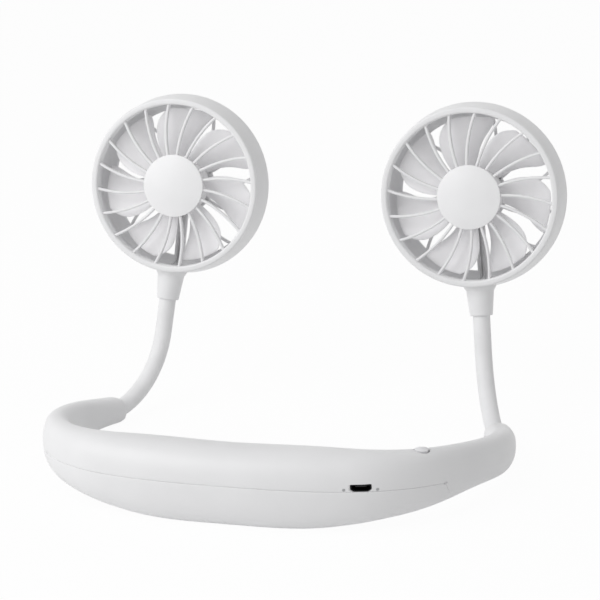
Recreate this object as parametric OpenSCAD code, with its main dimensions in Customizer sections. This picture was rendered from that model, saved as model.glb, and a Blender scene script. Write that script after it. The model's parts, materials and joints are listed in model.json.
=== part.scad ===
// Electric neck fan: a U-shaped neckband that holds the battery and the controls,
// and two bendable arms that each carry a grilled fan head.
// The part stands on its belly and on the tips of its legs. X runs across, the
// convex back of the band faces -Y, the legs point to +Y and Z is up.
// Places along the band are given as s, the length along its middle line from
// the centre of the back; places along an arm as q, the length from the leg's tip.

/* [Neckband outline] */
// Length along the middle of the band from the centre of the back to one tip
band_half = 164; // [156:1:170]
// Radius of the nearly straight back
back_radius = 357; // [300:5:420]
// Length of half the back
back_run = 45; // [42:1:50]
// Radius of the corner between back and leg
corner_radius = 46; // [42:1:54]
// Length of the corner
corner_run = 40; // [36:1:44]
// Radius of the leg, which curls in towards the wearer's collar bones
leg_radius = 77; // [70:1:90]
// How far the parting line falls from the back to the tips
seam_fall = 13.1; // [11:0.1:15]

/* [Neckband section] */
// Height of the top edge over the parting line at the back
back_rise = 12.4; // [11.5:0.1:14]
// Depth of the belly under the parting line at the back
back_drop = 18.85; // [17:0.05:21]
// How much of the belly is cut off flat, as the face that the part rests on
rest_trim = 0.6; // [0.5:0.05:0.9]
// Wall of both housing shells
shell_wall = 1.5; // [1.2:0.1:1.8]
// Open line between the two shells
seam_gap = 0.15; // [0.1:0.05:0.3]
// Length over which a leg's tip is rounded
tip_round = 4; // [3:0.5:6]

/* [Charging and switching] */
// Width of the charging opening
port_w = 8.1; // [7.8:0.1:9]
// Height of the charging opening
port_h = 2.95; // [2.8:0.05:3.4]
// Distance along the band from the screw beside the battery to the charging opening
port_step = 13.5; // [13.2:0.1:15]
// Radius of the power button
button_r = 3; // [2.5:0.1:3.4]
// Height of the button's dome over the housing
button_proud = 1; // [0.6:0.1:1.4]
// How far the button is pressed in
button_travel = 0.4; // [0.2:0.05:0.6]
// Distance along the band from the charging opening to the power button
button_step = 24; // [24:0.5:28]

/* [Battery] */
// Radius of the round cell
cell_r = 9.1; // [8.5:0.1:9.2]
// Length of the round cell
cell_length = 65; // [60:1:65.5]
// Room that the cell has across the band, besides what the band's curve takes
cell_room = 0.92; // [0.8:0.02:2]

/* [Arms] */
// Outer radius of an arm's sleeve
sleeve_r = 3.6; // [3.4:0.1:3.8]
// Wall of the sleeve
sleeve_wall = 1; // [0.9:0.1:1.1]
// Distance between the centres of two ball joints along an arm
joint_pitch = 14.5; // [13.5:0.5:16]
// Slope at which an arm leaves its leg
start_slope = 6; // [2:0.5:9]
// Slope at which an arm enters its head
end_slope = 74; // [72:1:80]
// How far the arms' bending planes are turned inwards
arm_turn = 21; // [15:1:27]
// Radius of the balls in the arm's spine
ball_r = 1.9; // [1.7:0.1:2]

/* [Fan heads] */
// Outer radius of a head
head_r = 37.5; // [36:0.5:40]
// Depth of a head from grille to back
head_depth = 19; // [18.5:0.5:22]
// Distance from a head's centre to the lower end of its collar
collar_reach = 50.5; // [50:0.5:54]
// How far a head is tipped forward where its collar meets the shroud
head_tip = 6; // [4:0.5:8]
// How much wider a head's shroud is than its front ring
shroud_swell = 1.4; // [1:0.1:1.6]
// Wall of the head's shroud
shroud_wall = 1.5; // [1.2:0.1:1.8]
// Number of ribs in the front grille
front_ribs = 20; // [14:1:24]
// Number of ribs in the rear grille
rear_ribs = 12; // [8:1:16]
// Width of a front rib
rib_w = 1.2; // [0.9:0.1:1.5]
// Radius of the domed cap in the middle of the front grille
cap_r = 13.4; // [12:0.2:15]
// Height of the cap's dome
cap_rise = 2.2; // [1.5:0.1:3]
// Number of fan blades
blades = 7; // [5:1:9]
// Gap between the blades' tips and the shroud
tip_gap = 2.8; // [2.6:0.1:5]
// Thickness of a blade
blade_thick = 1; // [0.8:0.1:1.4]
// Radius of the motor
motor_r = 8.5; // [7.5:0.1:9]

/* [Hidden] */

left = -1;
right = 1;
degree = 180 / PI;
overrun = 1;
running_gap = 0.05;
seat_gap = 0.1;

// The band's curve over the cell's length, and the thickness that the cell asks for
cell_sag = back_radius - sqrt(pow(back_radius, 2) - pow(cell_length / 2, 2));
back_thick = 2 * (cell_r + shell_wall) + cell_sag + cell_room;

// Row of pieces along the band: cell, screw, charging opening, screw and button
cell_end_room = 5;
leg_screw_step = 16;
port_s = cell_length / 2 + cell_end_room + port_step;
button_s = port_s + button_step;
screw_s = [cell_length / 2 + cell_end_room, port_s + leg_screw_step];

// Heights of the section along the band, as shares of their values at the back,
// at equal steps from the back's centre to a tip
rise_shares = [1, 1.035, 0.99, 0.905, 0.705, 0.445];
drop_shares = [1, 0.965, 0.665, 0.37, 0.395, 0.287];
thick_shares = [1, 0.97, 0.69, 0.51, 0.485, 0.48];
// Exponent of the rounded section, where 2 is an ellipse
section_power = 2.4;
// Share of the full section that is left on a tip's end face
tip_end_share = 0.8;

// Rings of the shells between the back's centre and a tip, then round the tip
band_rings = 21;
tip_ring_shares = [1, 0.6, 0.3, 0.1, 0];
upper_sides = 14;
lower_sides = 14;

// Where the parting line leaves the outer face and runs under the legs
cover_room = 5.5;
cover_end = button_s + cover_room;
cover_turn = 5;
leg_part_angle = 62;

seam_height = back_drop - rest_trim;

function side_of(v) = v < 0 ? -1 : 1;
function arc_end(p, turn, radius, run) =
    let (after = turn + run / radius * degree)
    [p[0] + radius * (sin(after) - sin(turn)), p[1] - radius * (cos(after) - cos(turn)), after];
function half_line(s) =
    let (a = arc_end([0, 0], 0, back_radius, min(s, back_run)),
         b = arc_end(a, a[2], corner_radius, max(0, min(s - back_run, corner_run))))
    arc_end(b, b[2], leg_radius, max(0, s - back_run - corner_run));

// Smooth curve through a table of shares at equal steps, u from 0 to 1
function held(table, i) = table[max(0, min(len(table) - 1, i))];
function smooth(table, u) =
    let (n = len(table) - 1, k = min(floor(u * n), n - 1), t = u * n - k,
         a = k == 0 ? table[1] : table[k - 1], b = table[k], c = table[k + 1],
         d = held(table, k + 2))
    b + t * (c - a) / 2 + t * t * (a - 2.5 * b + 2 * c - d / 2)
      + t * t * t * (1.5 * b - 1.5 * c + d / 2 - a / 2);

function tip_share(s) =
    let (q = 1 - min(1, (band_half - abs(s)) / tip_round))
    tip_end_share + (1 - tip_end_share) * sqrt(1 - q * q);
function along(s) = min(1, abs(s) / band_half);
function rise_at(s) = back_rise * smooth(rise_shares, along(s)) * tip_share(s);
function drop_at(s) = back_drop * smooth(drop_shares, along(s)) * tip_share(s);
function thick_at(s) = back_thick * smooth(thick_shares, along(s)) * tip_share(s);

// The arms: an arc over the first three joints, then straight into the head
arc_run = 3 * joint_pitch;
arm_run = 4 * joint_pitch;
arm_radius = arc_run / (end_slope - start_slope) * degree;
function slope_at(q) = start_slope + max(0, min(arc_run, q)) / arm_radius * degree;
function arm_point(q) =
    let (a = slope_at(q), past = q < 0 ? q : max(0, q - arc_run))
    [0, arm_radius * (sin(a) - sin(start_slope)) + past * cos(a),
        arm_radius * (cos(start_slope) - cos(a)) + past * sin(a)];

// Lean of the heads, whose collars lie in line with the ends of the arms
head_pitch = atan2(cos(end_slope) * cos(arm_turn), sin(end_slope)) - head_tip;
head_lean = asin(cos(end_slope) * sin(arm_turn));
head_up = [sin(head_lean), cos(head_lean) * sin(head_pitch), cos(head_lean) * cos(head_pitch)];
collar_top = arm_point(arm_run + collar_reach - head_r);
rim_round = 1.5;
back_round = 6.5;
swell_r = head_r + shroud_swell;

// The band is placed so that the origin lies under the middle of the whole part
back_face = -back_thick / 2;
head_back = half_line(band_half)[1] + collar_top[1] * cos(arm_turn) + head_r * head_up[1]
          + (swell_r - back_round) * sin(head_pitch) + (head_depth / 2 - back_round) * cos(head_pitch)
          + back_round;
back_y = -(back_face + head_back) / 2;

function band_line(s) = let (p = half_line(abs(s))) [side_of(s) * p[0], p[1] + back_y, side_of(s) * p[2]];
tip_y = half_line(band_half)[1];
function seam_z(s) = seam_height - seam_fall * half_line(abs(s))[1] / tip_y;
tip_centre_z = seam_z(band_half) + (rise_at(band_half) - drop_at(band_half)) / 2;
tip_point = [half_line(band_half)[0], tip_y + back_y, tip_centre_z];

// A point of the band's section: 0 is the outer face, 90 the top, 180 the neck side
function powered(v) = side_of(v) * pow(abs(v), 2 / section_power);
function band_point(s, angle, inset) =
    let (p = band_line(s), across = (thick_at(s) / 2 - inset) * powered(cos(angle)),
         rise = sin(angle) >= 0 ? rise_at(s) - inset : drop_at(s) - inset)
    [p[0] + across * sin(p[2]), p[1] - across * cos(p[2]),
     max(inset, seam_z(s) + rise * powered(sin(angle)))];

stations = [for (k = [-band_rings : band_rings])
    side_of(k) * (band_half - tip_round) * abs(k) / band_rings];
tip_stations = [for (t = tip_ring_shares) band_half - tip_round * t];
rings = concat([for (k = [len(tip_stations) - 1 : -1 : 1]) -tip_stations[k]], stations,
               [for (k = [1 : len(tip_stations) - 1]) tip_stations[k]]);

// Angle of the parting line under the outer face, which dives under the legs
function part_angle(s) =
    leg_part_angle * max(0, min(1, (abs(s) - cover_end) / cover_turn));
// The open line between the shells, as an angle of the section there
function gap_angle(s) = seam_gap / 2 / (thick_at(s) / 2) * degree;

function sector(s, from, to, sides, inset) =
    [for (i = [0 : sides]) band_point(s, from + (to - from) * i / sides, inset)];
function upper_ring(s) =
    let (low = -part_angle(s) + gap_angle(s), high = 180 + part_angle(s) - gap_angle(s))
    concat(sector(s, low, high, upper_sides, 0), sector(s, high, low, upper_sides, shell_wall));
function lower_ring(s) =
    let (low = 180 + part_angle(s) + gap_angle(s), high = 360 - part_angle(s) - gap_angle(s))
    concat(sector(s, low, high, lower_sides, 0), sector(s, high, low, lower_sides, shell_wall));

// Closed skin over a row of rings that all have the same number of points
module skin(rows, flip = false) {
    n = len(rows[0]);
    m = len(rows);
    walls = [for (i = [0 : m - 2], j = [0 : n - 1])
        let (a = i * n + j, b = i * n + (j + 1) % n)
        each [[a, b, b + n], [a, b + n, a + n]]];
    half = n / 2;
    ends = [for (j = [0 : half - 2])
        let (c = j, d = j + 1, e = n - 2 - j, f = n - 1 - j, z = (m - 1) * n)
        each [[c, f, d], [d, f, e], [z + c, z + d, z + f], [z + d, z + e, z + f]]];
    faces = concat(walls, ends);
    polyhedron([for (row = rows) each row], flip ? [for (f = faces) [f[2], f[1], f[0]]] : faces);
}

// Round tube along a list of points
function lead_ring(points, i, radius, sides) =
    let (last = len(points) - 1,
         before = points[max(0, i - 1)], after = points[min(last, i + 1)],
         dir = (after - before) / norm(after - before),
         flat = abs(dir[2]) > 0.9 ? [1, 0, 0] : [0, 0, 1],
         u = cross(dir, flat) / norm(cross(dir, flat)), v = cross(dir, u))
    [for (k = [0 : sides - 1]) points[i] + radius * (cos(360 * k / sides) * u + sin(360 * k / sides) * v)];
module lead(points, radius, sides = 8) {
    n = len(points);
    all = [for (i = [0 : n - 1]) each lead_ring(points, i, radius, sides)];
    walls = [for (i = [0 : n - 2], k = [0 : sides - 1])
        let (a = i * sides + k, b = i * sides + (k + 1) % sides)
        each [[a, b, b + sides], [a, b + sides, a + sides]]];
    caps = [for (k = [1 : sides - 2])
        each [[0, k + 1, k], [(n - 1) * sides, (n - 1) * sides + k, (n - 1) * sides + k + 1]]];
    polyhedron(all, concat(walls, caps));
}

module at_band(s) {
    p = band_line(s);
    translate([p[0], p[1], 0]) rotate([0, 0, p[2]]) children();
}
module at_arm(side) {
    translate([side * tip_point[0], tip_point[1], tip_point[2]])
        rotate([0, 0, side * arm_turn]) children();
}
head_x = tip_point[0] - collar_top[1] * sin(arm_turn) - head_r * head_up[0];
head_y = tip_point[1] + collar_top[1] * cos(arm_turn) + head_r * head_up[1];
head_z = tip_point[2] + collar_top[2] + head_r * head_up[2];
// In a head, Z is its axis towards the front grille and Y runs up from where the collar ends
module at_head(side) {
    translate([side * head_x, head_y, head_z])
        rotate([-head_pitch, 0, 0]) rotate([0, -side * head_lean, 0]) rotate([90, 0, 0]) children();
}
// Within a head, this turns what belongs to the collar into line with the arm
module in_collar(side) {
    translate([0, -head_r, 0]) rotate(a = -head_tip, v = [cos(head_lean), -side * sin(head_lean), 0])
        translate([0, head_r, 0]) children();
}
function collar_axis(y) = [(y + head_r) * cos(head_tip) - head_r, -(y + head_r) * sin(head_tip)];

// Housing shells
screw_post_r = 2.6;
screw_pilot_r = 0.8;
screw_head_r = 1.9;
screw_head_h = 1.3;
screw_length = 8;
screw_thread_r = 0.75;
screw_sink_shares = [0.46, 0.3];
$fn = 48;
post_gap = 0.3;
function sink_z(k) = seam_z(screw_s[k]) - drop_at(screw_s[k])
    + (rise_at(screw_s[k]) + drop_at(screw_s[k])) * screw_sink_shares[k];
socket_depth = 6;
anchor_length = 4;
socket_r = sleeve_r + seat_gap;
module arm_socket(side) {
    at_arm(side) translate(arm_point(-socket_depth)) rotate([start_slope - 90, 0, 0])
        cylinder(h = socket_depth + tip_round, r = socket_r);
}
port_z = seam_z(port_s);
port_corner_share = 0.16;
module port_outline(w, h) {
    polygon([[-w / 2 + w * port_corner_share, 0], [w / 2 - w * port_corner_share, 0],
             [w / 2, h * 2 * port_corner_share], [w / 2, h], [-w / 2, h],
             [-w / 2, h * 2 * port_corner_share]]);
}
lens_r = 0.6;
lens_offset = 5.2;
lens_s = [port_s - lens_offset, port_s + lens_offset];
lens_lift = 0.9;
module lens_bar(s, radius, from, to) {
    at_band(s) translate([0, -to, seam_z(s) + lens_lift]) rotate([-90, 0, 0])
        cylinder(h = to - from, r = radius);
}
lens_length = 2.4;
button_gap = 0.15;
button_hole_r = button_r + button_gap;
module button_bore() {
    at_band(button_s) translate([0, 0, seam_z(button_s)])
        cylinder(h = rise_at(button_s) + overrun, r = button_hole_r);
}
module upper_housing() {
    color("#f1f1f2") difference() {
        union() {
            skin([for (s = rings) upper_ring(s)]);
            for (side = [left, right], k = [0 : len(screw_s) - 1])
                at_band(side * screw_s[k])
                    translate([0, 0, sink_z(k) + screw_head_h + shell_wall])
                        cylinder(h = seam_z(screw_s[k]) + rise_at(screw_s[k]) - shell_wall / 2
                                     - sink_z(k) - screw_head_h - shell_wall, r = screw_post_r);
            at_band(button_s) translate([0, 0, flange_top + press_gap])
                cylinder(h = flange_drop - shell_wall / 2, r = flange_r + shell_wall / 2);
        }
        for (side = [left, right], k = [0 : len(screw_s) - 1])
            at_band(side * screw_s[k]) translate([0, 0, sink_z(k)])
                cylinder(h = screw_length + screw_head_h + seat_gap, r = screw_pilot_r);
        for (side = [left, right]) arm_socket(side);
        at_band(port_s) translate([0, 0, port_z]) rotate([90, 0, 0])
            linear_extrude(height = thick_at(port_s)) port_outline(port_w, port_h);
        for (s = lens_s) lens_bar(s, lens_r + seat_gap / 2, 0, thick_at(s));
        button_bore();
    }
}
// A post on the inside of the cover's floor
module floor_post(s, top, radius) {
    foot = seam_z(s) - drop_at(s) + shell_wall * 2 / 3;
    at_band(s) translate([0, 0, foot]) cylinder(h = top - foot, r = radius);
}
board_post_r = 1.8;
module lower_cover() {
    color("#ececee") difference() {
        union() {
            skin([for (s = rings) lower_ring(s)]);
            for (side = [left, right], k = [0 : len(screw_s) - 1])
                floor_post(side * screw_s[k], sink_z(k) + screw_head_h + shell_wall - post_gap,
                           screw_post_r + shell_wall / 2);
            for (turn = [-1, 1])
                floor_post(port_s + turn * board_length / 3, board_top - board_thick - seat_gap, board_post_r);
            floor_post(button_s, switch_top - switch_h - board_thick - seat_gap, board_post_r);
        }
        for (side = [left, right], k = [0 : len(screw_s) - 1])
            at_band(side * screw_s[k]) {
                translate([0, 0, -overrun])
                    cylinder(h = sink_z(k) + screw_head_h + overrun, r = screw_head_r + seat_gap);
                cylinder(h = seam_z(screw_s[k]), r = screw_thread_r + seat_gap);
            }
        for (side = [left, right]) arm_socket(side);
    }
}
module housing_screws() {
    color("#8f9296") for (side = [left, right], k = [0 : len(screw_s) - 1])
        at_band(side * screw_s[k]) translate([0, 0, sink_z(k)]) {
            cylinder(h = screw_head_h - seat_gap, r = screw_head_r);
            cylinder(h = screw_length, r = screw_thread_r);
        }
}

// Battery and boards
cell_shift = cell_sag * 2 / 3;
cell_drop = 3;
cell_z = seam_height - cell_drop;
module battery_cell() {
    cap_h = 1.2;
    cap_radius = 3;
    groove = 0.5;
    color("#3f7fb4") translate([-cell_length / 2, back_y + cell_shift, cell_z])
        rotate([0, 90, 0]) {
            cylinder(h = cell_length - cap_h, r = cell_r);
            translate([0, 0, cell_length - cap_h - groove])
                cylinder(h = cap_h + groove, r = cap_radius);
        }
}
pad_length = 36;
pad_width = 8;
pad_lift = 1.1;
module battery_pad() {
    color("#3c3c3e") difference() {
        translate([-pad_length / 2, back_y + cell_shift - pad_width / 2, shell_wall + pad_lift])
            cube([pad_length, pad_width, cell_z - cell_r]);
        translate([-pad_length / 2 - overrun, back_y + cell_shift, cell_z]) rotate([0, 90, 0])
            cylinder(h = pad_length + 2 * overrun, r = cell_r + seat_gap);
    }
}
board_thick = 1;
board_length = 20;
board_in = 5.5;
board_out = 5;
usb_lift = 0.17;
board_top = port_z + usb_lift;
module circuit_board() {
    color("#1f6b45") at_band(port_s)
        translate([-board_length / 2, -board_out, board_top - board_thick])
            cube([board_length, board_in + board_out, board_thick]);
}
module board_components() {
    chip_w = 4;
    chip_h = 1.2;
    coil_r = 2;
    coil_h = 2.2;
    part_w = 1.6;
    part_h = 0.8;
    color("#2b2b2e") at_band(port_s) translate([0, 0, board_top]) {
        translate([-board_length / 2 + chip_w / 4, 0, 0]) cube([chip_w, chip_w, chip_h]);
        translate([board_length / 2 - 2 * coil_r, coil_r / 2, 0]) cylinder(h = coil_h, r = coil_r);
        for (k = [0 : 2]) translate([-part_w + k * part_w * 1.5, board_in - part_w, 0])
            cube([part_w / 2, part_w, part_h]);
    }
}
usb_w = 7.5;
usb_h = 2.6;
usb_depth = 5.6;
usb_wall = 0.3;
usb_inset = 0.5;
usb_mouth = thick_at(port_s) / 2 - usb_inset;
module usb_socket() {
    color("#c9ccd0") at_band(port_s) translate([0, -usb_mouth, board_top]) rotate([-90, 0, 0])
        mirror([0, 1, 0]) difference() {
            linear_extrude(height = usb_depth) port_outline(usb_w, usb_h);
            translate([0, usb_wall, -overrun]) linear_extrude(height = usb_depth - usb_wall + overrun)
                port_outline(usb_w - 2 * usb_wall, usb_h - 2 * usb_wall);
        }
}
module usb_tongue() {
    tongue_w = 4;
    tongue_h = 0.6;
    tongue_depth = 4;
    color("#151517") at_band(port_s)
        translate([-tongue_w / 2, -usb_mouth + usb_depth - usb_wall - tongue_depth,
                   board_top + usb_h / 2])
            cube([tongue_w, tongue_depth, tongue_h]);
}
module indicator_lenses() {
    color("#e6e9ea") for (s = lens_s)
        lens_bar(s, lens_r, thick_at(s) / 2 - lens_length, thick_at(s) / 2 - seat_gap);
}

// Power button over its switch
button_top = seam_z(button_s) + rise_at(button_s) + button_proud;
flange_width = 0.7;
flange_r = button_r + flange_width;
flange_h = 0.8;
flange_drop = 3.2;
flange_top = seam_z(button_s) + rise_at(button_s) - flange_drop;
switch_w = 4.5;
switch_h = 2;
plunger_r = 1;
plunger_h = 0.6;
stem_h = 1;
press_gap = 0.05;
switch_top = flange_top - flange_h - stem_h - press_gap - plunger_h - button_travel;
module power_button() {
    dome_r = (button_r * button_r + button_proud * button_proud) / 2 / button_proud;
    color("#e9e9eb") at_band(button_s) {
        intersection() {
            translate([0, 0, button_top - dome_r]) sphere(r = dome_r);
            translate([0, 0, flange_top - flange_h / 2])
                cylinder(h = button_top - flange_top + flange_h, r = button_r);
        }
        translate([0, 0, flange_top - flange_h]) cylinder(h = flange_h, r = flange_r);
        translate([0, 0, flange_top - flange_h - stem_h]) cylinder(h = stem_h + flange_h / 2, r = plunger_r);
    }
}
module tact_switch() {
    color("#303033") at_band(button_s) {
        translate([-switch_w / 2, -switch_w / 2, switch_top - switch_h])
            cube([switch_w, switch_w, switch_h]);
        translate([0, 0, switch_top - switch_h / 2]) cylinder(h = switch_h / 2 + plunger_h, r = plunger_r);
    }
}
switch_board_w = 8;
module switch_board() {
    color("#1f6b45") at_band(button_s)
        translate([-switch_board_w / 2, -switch_board_w / 2, switch_top - switch_h - board_thick])
            cube([switch_board_w, switch_board_w, board_thick]);
}

// Leads inside the band, each along stops of [s, height over the parting line, offset to the neck]
lead_r = 0.6;
lead_step = 6;
lead_lane = screw_post_r + shell_wall / 2 + 1.4 * lead_r;
over_cell = cell_r - cell_drop + 2.5 * lead_r;
leg_lift = -3 * lead_r;
function board_lift(s) = board_top - seam_z(s) + lead_r + seat_gap;
board_start = port_s - board_length / 2;
board_stop = port_s + board_length / 2;
lead_end = band_half - socket_depth - 2 * lead_r;
function route(stops) = [for (k = [0 : len(stops) - 2])
    let (from = stops[k], to = stops[k + 1], n = ceil(norm(to - from) / lead_step))
    each [for (i = [0 : k == len(stops) - 2 ? n : n - 1])
        let (at = from + (to - from) * i / n, p = band_line(at[0]))
        [p[0] - at[2] * sin(p[2]), p[1] + at[2] * cos(p[2]), seam_z(at[0]) + at[1]]]];
module battery_leads() {
    far_lane = -lead_lane - 2.4 * lead_r;
    cell_end = cell_length / 2;
    on_board = board_start + 2 * lead_r;
    color("#b3262a") {
        lead(route([[cell_end + 2 * lead_r, lead_r, -lead_lane],
                    [on_board, board_lift(on_board), -lead_lane]]), lead_r);
        lead(route([[-cell_end - 2 * lead_r, lead_r, far_lane],
                    [-cell_end - 2 * lead_r, over_cell - 2 * lead_r, far_lane],
                    [-cell_end, over_cell, far_lane],
                    [board_start - lead_step - lead_r, over_cell, far_lane],
                    [on_board, board_lift(on_board), far_lane]]), lead_r);
    }
}
module left_motor_lead() {
    on_board = board_start + 2 * lead_r;
    color("#d9d9da") lead(route([
        [on_board, board_lift(on_board), lead_lane],
        [board_start - lead_step - lead_r, over_cell, lead_lane],
        [-screw_s[0] - lead_step, over_cell, lead_lane],
        [-screw_s[0] - 3 * lead_step, leg_lift, lead_lane],
        [-screw_s[1] - lead_step, leg_lift, lead_lane],
        [-screw_s[1] - 4 * lead_step, 0, 0],
        [-lead_end, 0, 0]]), lead_r);
}
module right_motor_lead() {
    on_board = board_stop - 2 * lead_r;
    off_board = board_stop + 2 * lead_r;
    color("#d9d9da") lead(route([
        [on_board, board_lift(on_board), lead_lane],
        [off_board, board_lift(off_board), lead_lane],
        [board_stop + lead_step, leg_lift, lead_lane],
        [button_s + lead_step, leg_lift, lead_lane],
        [button_s + 4 * lead_step, 0, 0],
        [lead_end, 0, 0]]), lead_r);
}

// Arms: a chain of balls and cups inside a soft sleeve
spine_r = sleeve_r - sleeve_wall - seat_gap;
wire_r = 1.1;
neck_r = 1;
neck_run = 3.5;
cup_gap = running_gap;
cup_lip = 0.7;
cup_run = 2.6;
function joint_q(k) = (k - 0.5) * joint_pitch;
function sleeve_q(k) = k * joint_pitch;
module tube_outline(outer, inner) {
    difference() {
        circle(r = outer);
        if (inner > 0) circle(r = inner);
    }
}
module straight_run(from, to, outer, inner) {
    translate(arm_point(from)) rotate([slope_at(from) - 90, 0, 0])
        linear_extrude(height = to - from) tube_outline(outer, inner);
}
module bent_run(from, to, outer, inner) {
    translate([0, -arm_radius * sin(start_slope), arm_radius * cos(start_slope)])
        rotate([90, 0, 90]) rotate([0, 0, start_slope + from / arm_radius * degree - 90])
            rotate_extrude(angle = (to - from) / arm_radius * degree)
                translate([arm_radius, 0]) tube_outline(outer, inner);
}
module arm_length(from, to, outer, inner = 0) {
    if (from < arc_run) bent_run(from, min(to, arc_run), outer, inner);
    if (to > arc_run) straight_run(max(from, arc_run), to, outer, inner);
}
// A ring turned where the bent and the straight stretch of one piece meet
turned_ring = 1.2;
module turned_joint(q) {
    translate(arm_point(q)) rotate([slope_at(q) - 90, 0, 0]) translate([0, 0, -turned_ring / 2])
        cylinder(h = turned_ring, r = spine_r + running_gap);
}
module ball_end(q) {
    arm_length(q - neck_run - neck_r, q, neck_r);
    translate(arm_point(q)) sphere(r = ball_r);
}
module cup_hollow(q) {
    translate(arm_point(q)) sphere(r = ball_r + cup_gap);
}
module arm_link(side, k) {
    color("#a9adb2") at_arm(side) difference() {
        union() {
            arm_length(joint_q(k) - cup_lip, joint_q(k + 1) - neck_run, spine_r);
            ball_end(joint_q(k + 1));
            if (joint_q(k) < arc_run && joint_q(k + 1) > arc_run) turned_joint(arc_run);
        }
        cup_hollow(joint_q(k));
    }
}
sleeve_seat = 1.8;
module arm_anchor(side) {
    color("#a9adb2") at_arm(side) {
        straight_run(-socket_depth + seat_gap, -socket_depth + anchor_length, sleeve_r, 0);
        straight_run(-socket_depth + 2 * seat_gap, 0, spine_r, 0);
        turned_joint(0);
        bent_run(0, joint_q(1) - neck_run, spine_r, 0);
        ball_end(joint_q(1));
    }
}
sleeve_gap = 0.1;
collar_seat = 3;
collar_bore_depth = 6.2;
module arm_sleeve(side, k) {
    from = k == 1 ? -sleeve_seat : sleeve_q(k - 1) + sleeve_gap / 2;
    to = k == 4 ? arm_run + collar_seat : sleeve_q(k) - sleeve_gap / 2;
    color("#dfe0e1") at_arm(side) arm_length(max(from, k == 4 ? arc_run : from), to,
                                             sleeve_r, sleeve_r - sleeve_wall);
}
module head_anchor(side) {
    color("#a9adb2") at_arm(side) difference() {
        union() {
            straight_run(joint_q(4) - cup_lip, arm_run + collar_seat + 2 * seat_gap, spine_r, 0);
            straight_run(arm_run + collar_seat + seat_gap, arm_run + collar_bore_depth - seat_gap,
                         sleeve_r, 0);
        }
        cup_hollow(joint_q(4));
        straight_run(joint_q(4) + cup_run, arm_run + collar_bore_depth + overrun, wire_r, 0);
    }
}

// Fan heads
half_depth = head_depth / 2;
rib_depth = 1.6;
rim_lip = 5;
ring_depth = 2.4;
grille_seat = half_depth - ring_depth;
shroud_inner = head_r - shroud_wall;
fan_r = shroud_inner - tip_gap;
cap_overhang = 0.3;
hub_disc_r = cap_r - cap_overhang;
collar_top_r = 5.8;
collar_end_r = 4.75;
collar_flare = 1.2;
collar_flare_run = 2.5;
collar_root = head_r + shroud_swell * 2 / 3;
back_turn = 80;
round_steps = 4;
motor_seat_r = 12.6;
motor_wall = 0.8;
motor_back = -half_depth + rib_depth + seat_gap;
motor_front = 2;
seat_ring = 1.4;
screw_spread = 5.4;
tiny_head_r = 1.5;
tiny_head_h = 0.8;
tiny_thread_r = 0.65;
front_turn = 26;
rear_turn = 46;
channel_w = 4.4;
channel_wall = 0.9;

// A bar of a grille: it leaves the hub radially and bends round by turn
module grille_rib(from, to, turn, width, depth) {
    bend_r = (to - from) / sin(turn);
    translate([bend_r, from, 0]) rotate([0, 0, 180 - turn]) rotate_extrude(angle = turn)
        translate([bend_r, depth / 2]) square([width, depth], center = true);
}
function corner_arc(cx, cy, radius, from, to) = [for (k = [0 : round_steps])
    let (a = from + (to - from) * k / round_steps) [cx + radius * cos(a), cy + radius * sin(a)]];
module shroud_outline() {
    polygon(concat([[shroud_inner, grille_seat], [head_r, grille_seat]],
                   corner_arc(swell_r - back_round, -half_depth + back_round, back_round, 0, -back_turn),
                   [[head_r - rim_lip, -half_depth], [head_r - rim_lip, -half_depth + rib_depth]],
                   corner_arc(swell_r - back_round, -half_depth + back_round, back_round - shroud_wall,
                              -back_turn * 3 / 4, 0)));
}
module collar_outline() {
    polygon([[0, -collar_reach], [collar_end_r, -collar_reach],
             [collar_top_r, -collar_root - collar_flare_run],
             [collar_top_r + collar_flare, -collar_root + collar_flare_run / 4],
             [collar_top_r + collar_flare, -shroud_inner + shroud_wall / 2],
             [0, -shroud_inner + shroud_wall / 2]]);
}
lead_exit_r = 1.6;
module rear_housing(side) {
    color("#eeeeef") at_head(side) difference() {
        union() {
            rotate_extrude() shroud_outline();
            difference() {
                in_collar(side) rotate([-90, 0, 0]) rotate_extrude() collar_outline();
                translate([0, 0, -head_depth]) cylinder(h = 2 * head_depth, r = shroud_inner + running_gap);
            }
            translate([0, 0, -half_depth]) {
                cylinder(h = rib_depth, r = motor_seat_r);
                for (k = [1 : rear_ribs - 1]) rotate([0, 0, 180 + k * 360 / rear_ribs]) mirror([1, 0, 0])
                    grille_rib(motor_seat_r - rib_w, head_r - rim_lip + rib_w / 2, rear_turn, rib_w, rib_depth);
                translate([-channel_w / 2, -head_r + rim_lip - rib_w / 2, 0])
                    cube([channel_w, head_r - rim_lip + rib_w / 2 - motor_r - seat_ring, rib_depth]);
            }
            translate([0, 0, -half_depth + rib_depth / 2]) difference() {
                cylinder(h = rib_depth / 2 + 2 * seat_ring, r = motor_r + seat_gap + seat_ring);
                cylinder(h = head_depth, r = motor_r + seat_gap);
                translate([-channel_w / 2 + channel_wall, -motor_seat_r, 0])
                    cube([channel_w - 2 * channel_wall, motor_seat_r, head_depth]);
            }
        }
        in_collar(side) rotate([90, 0, 0]) {
            translate([0, 0, collar_reach - collar_bore_depth])
                cylinder(h = collar_bore_depth + overrun, r = socket_r);
            translate([0, 0, shroud_inner - shroud_wall])
                cylinder(h = collar_reach - shroud_inner, r = lead_exit_r);
        }
        for (turn = [-1, 1]) translate([turn * screw_spread, 0, -half_depth - overrun]) {
            cylinder(h = tiny_head_h + overrun, r = tiny_head_r + seat_gap);
            cylinder(h = head_depth / 2, r = tiny_thread_r + seat_gap);
        }
    }
}
latch_wall = 1.2;
latch_depth = 2.2;
cap_pin_r = 3;
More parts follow.
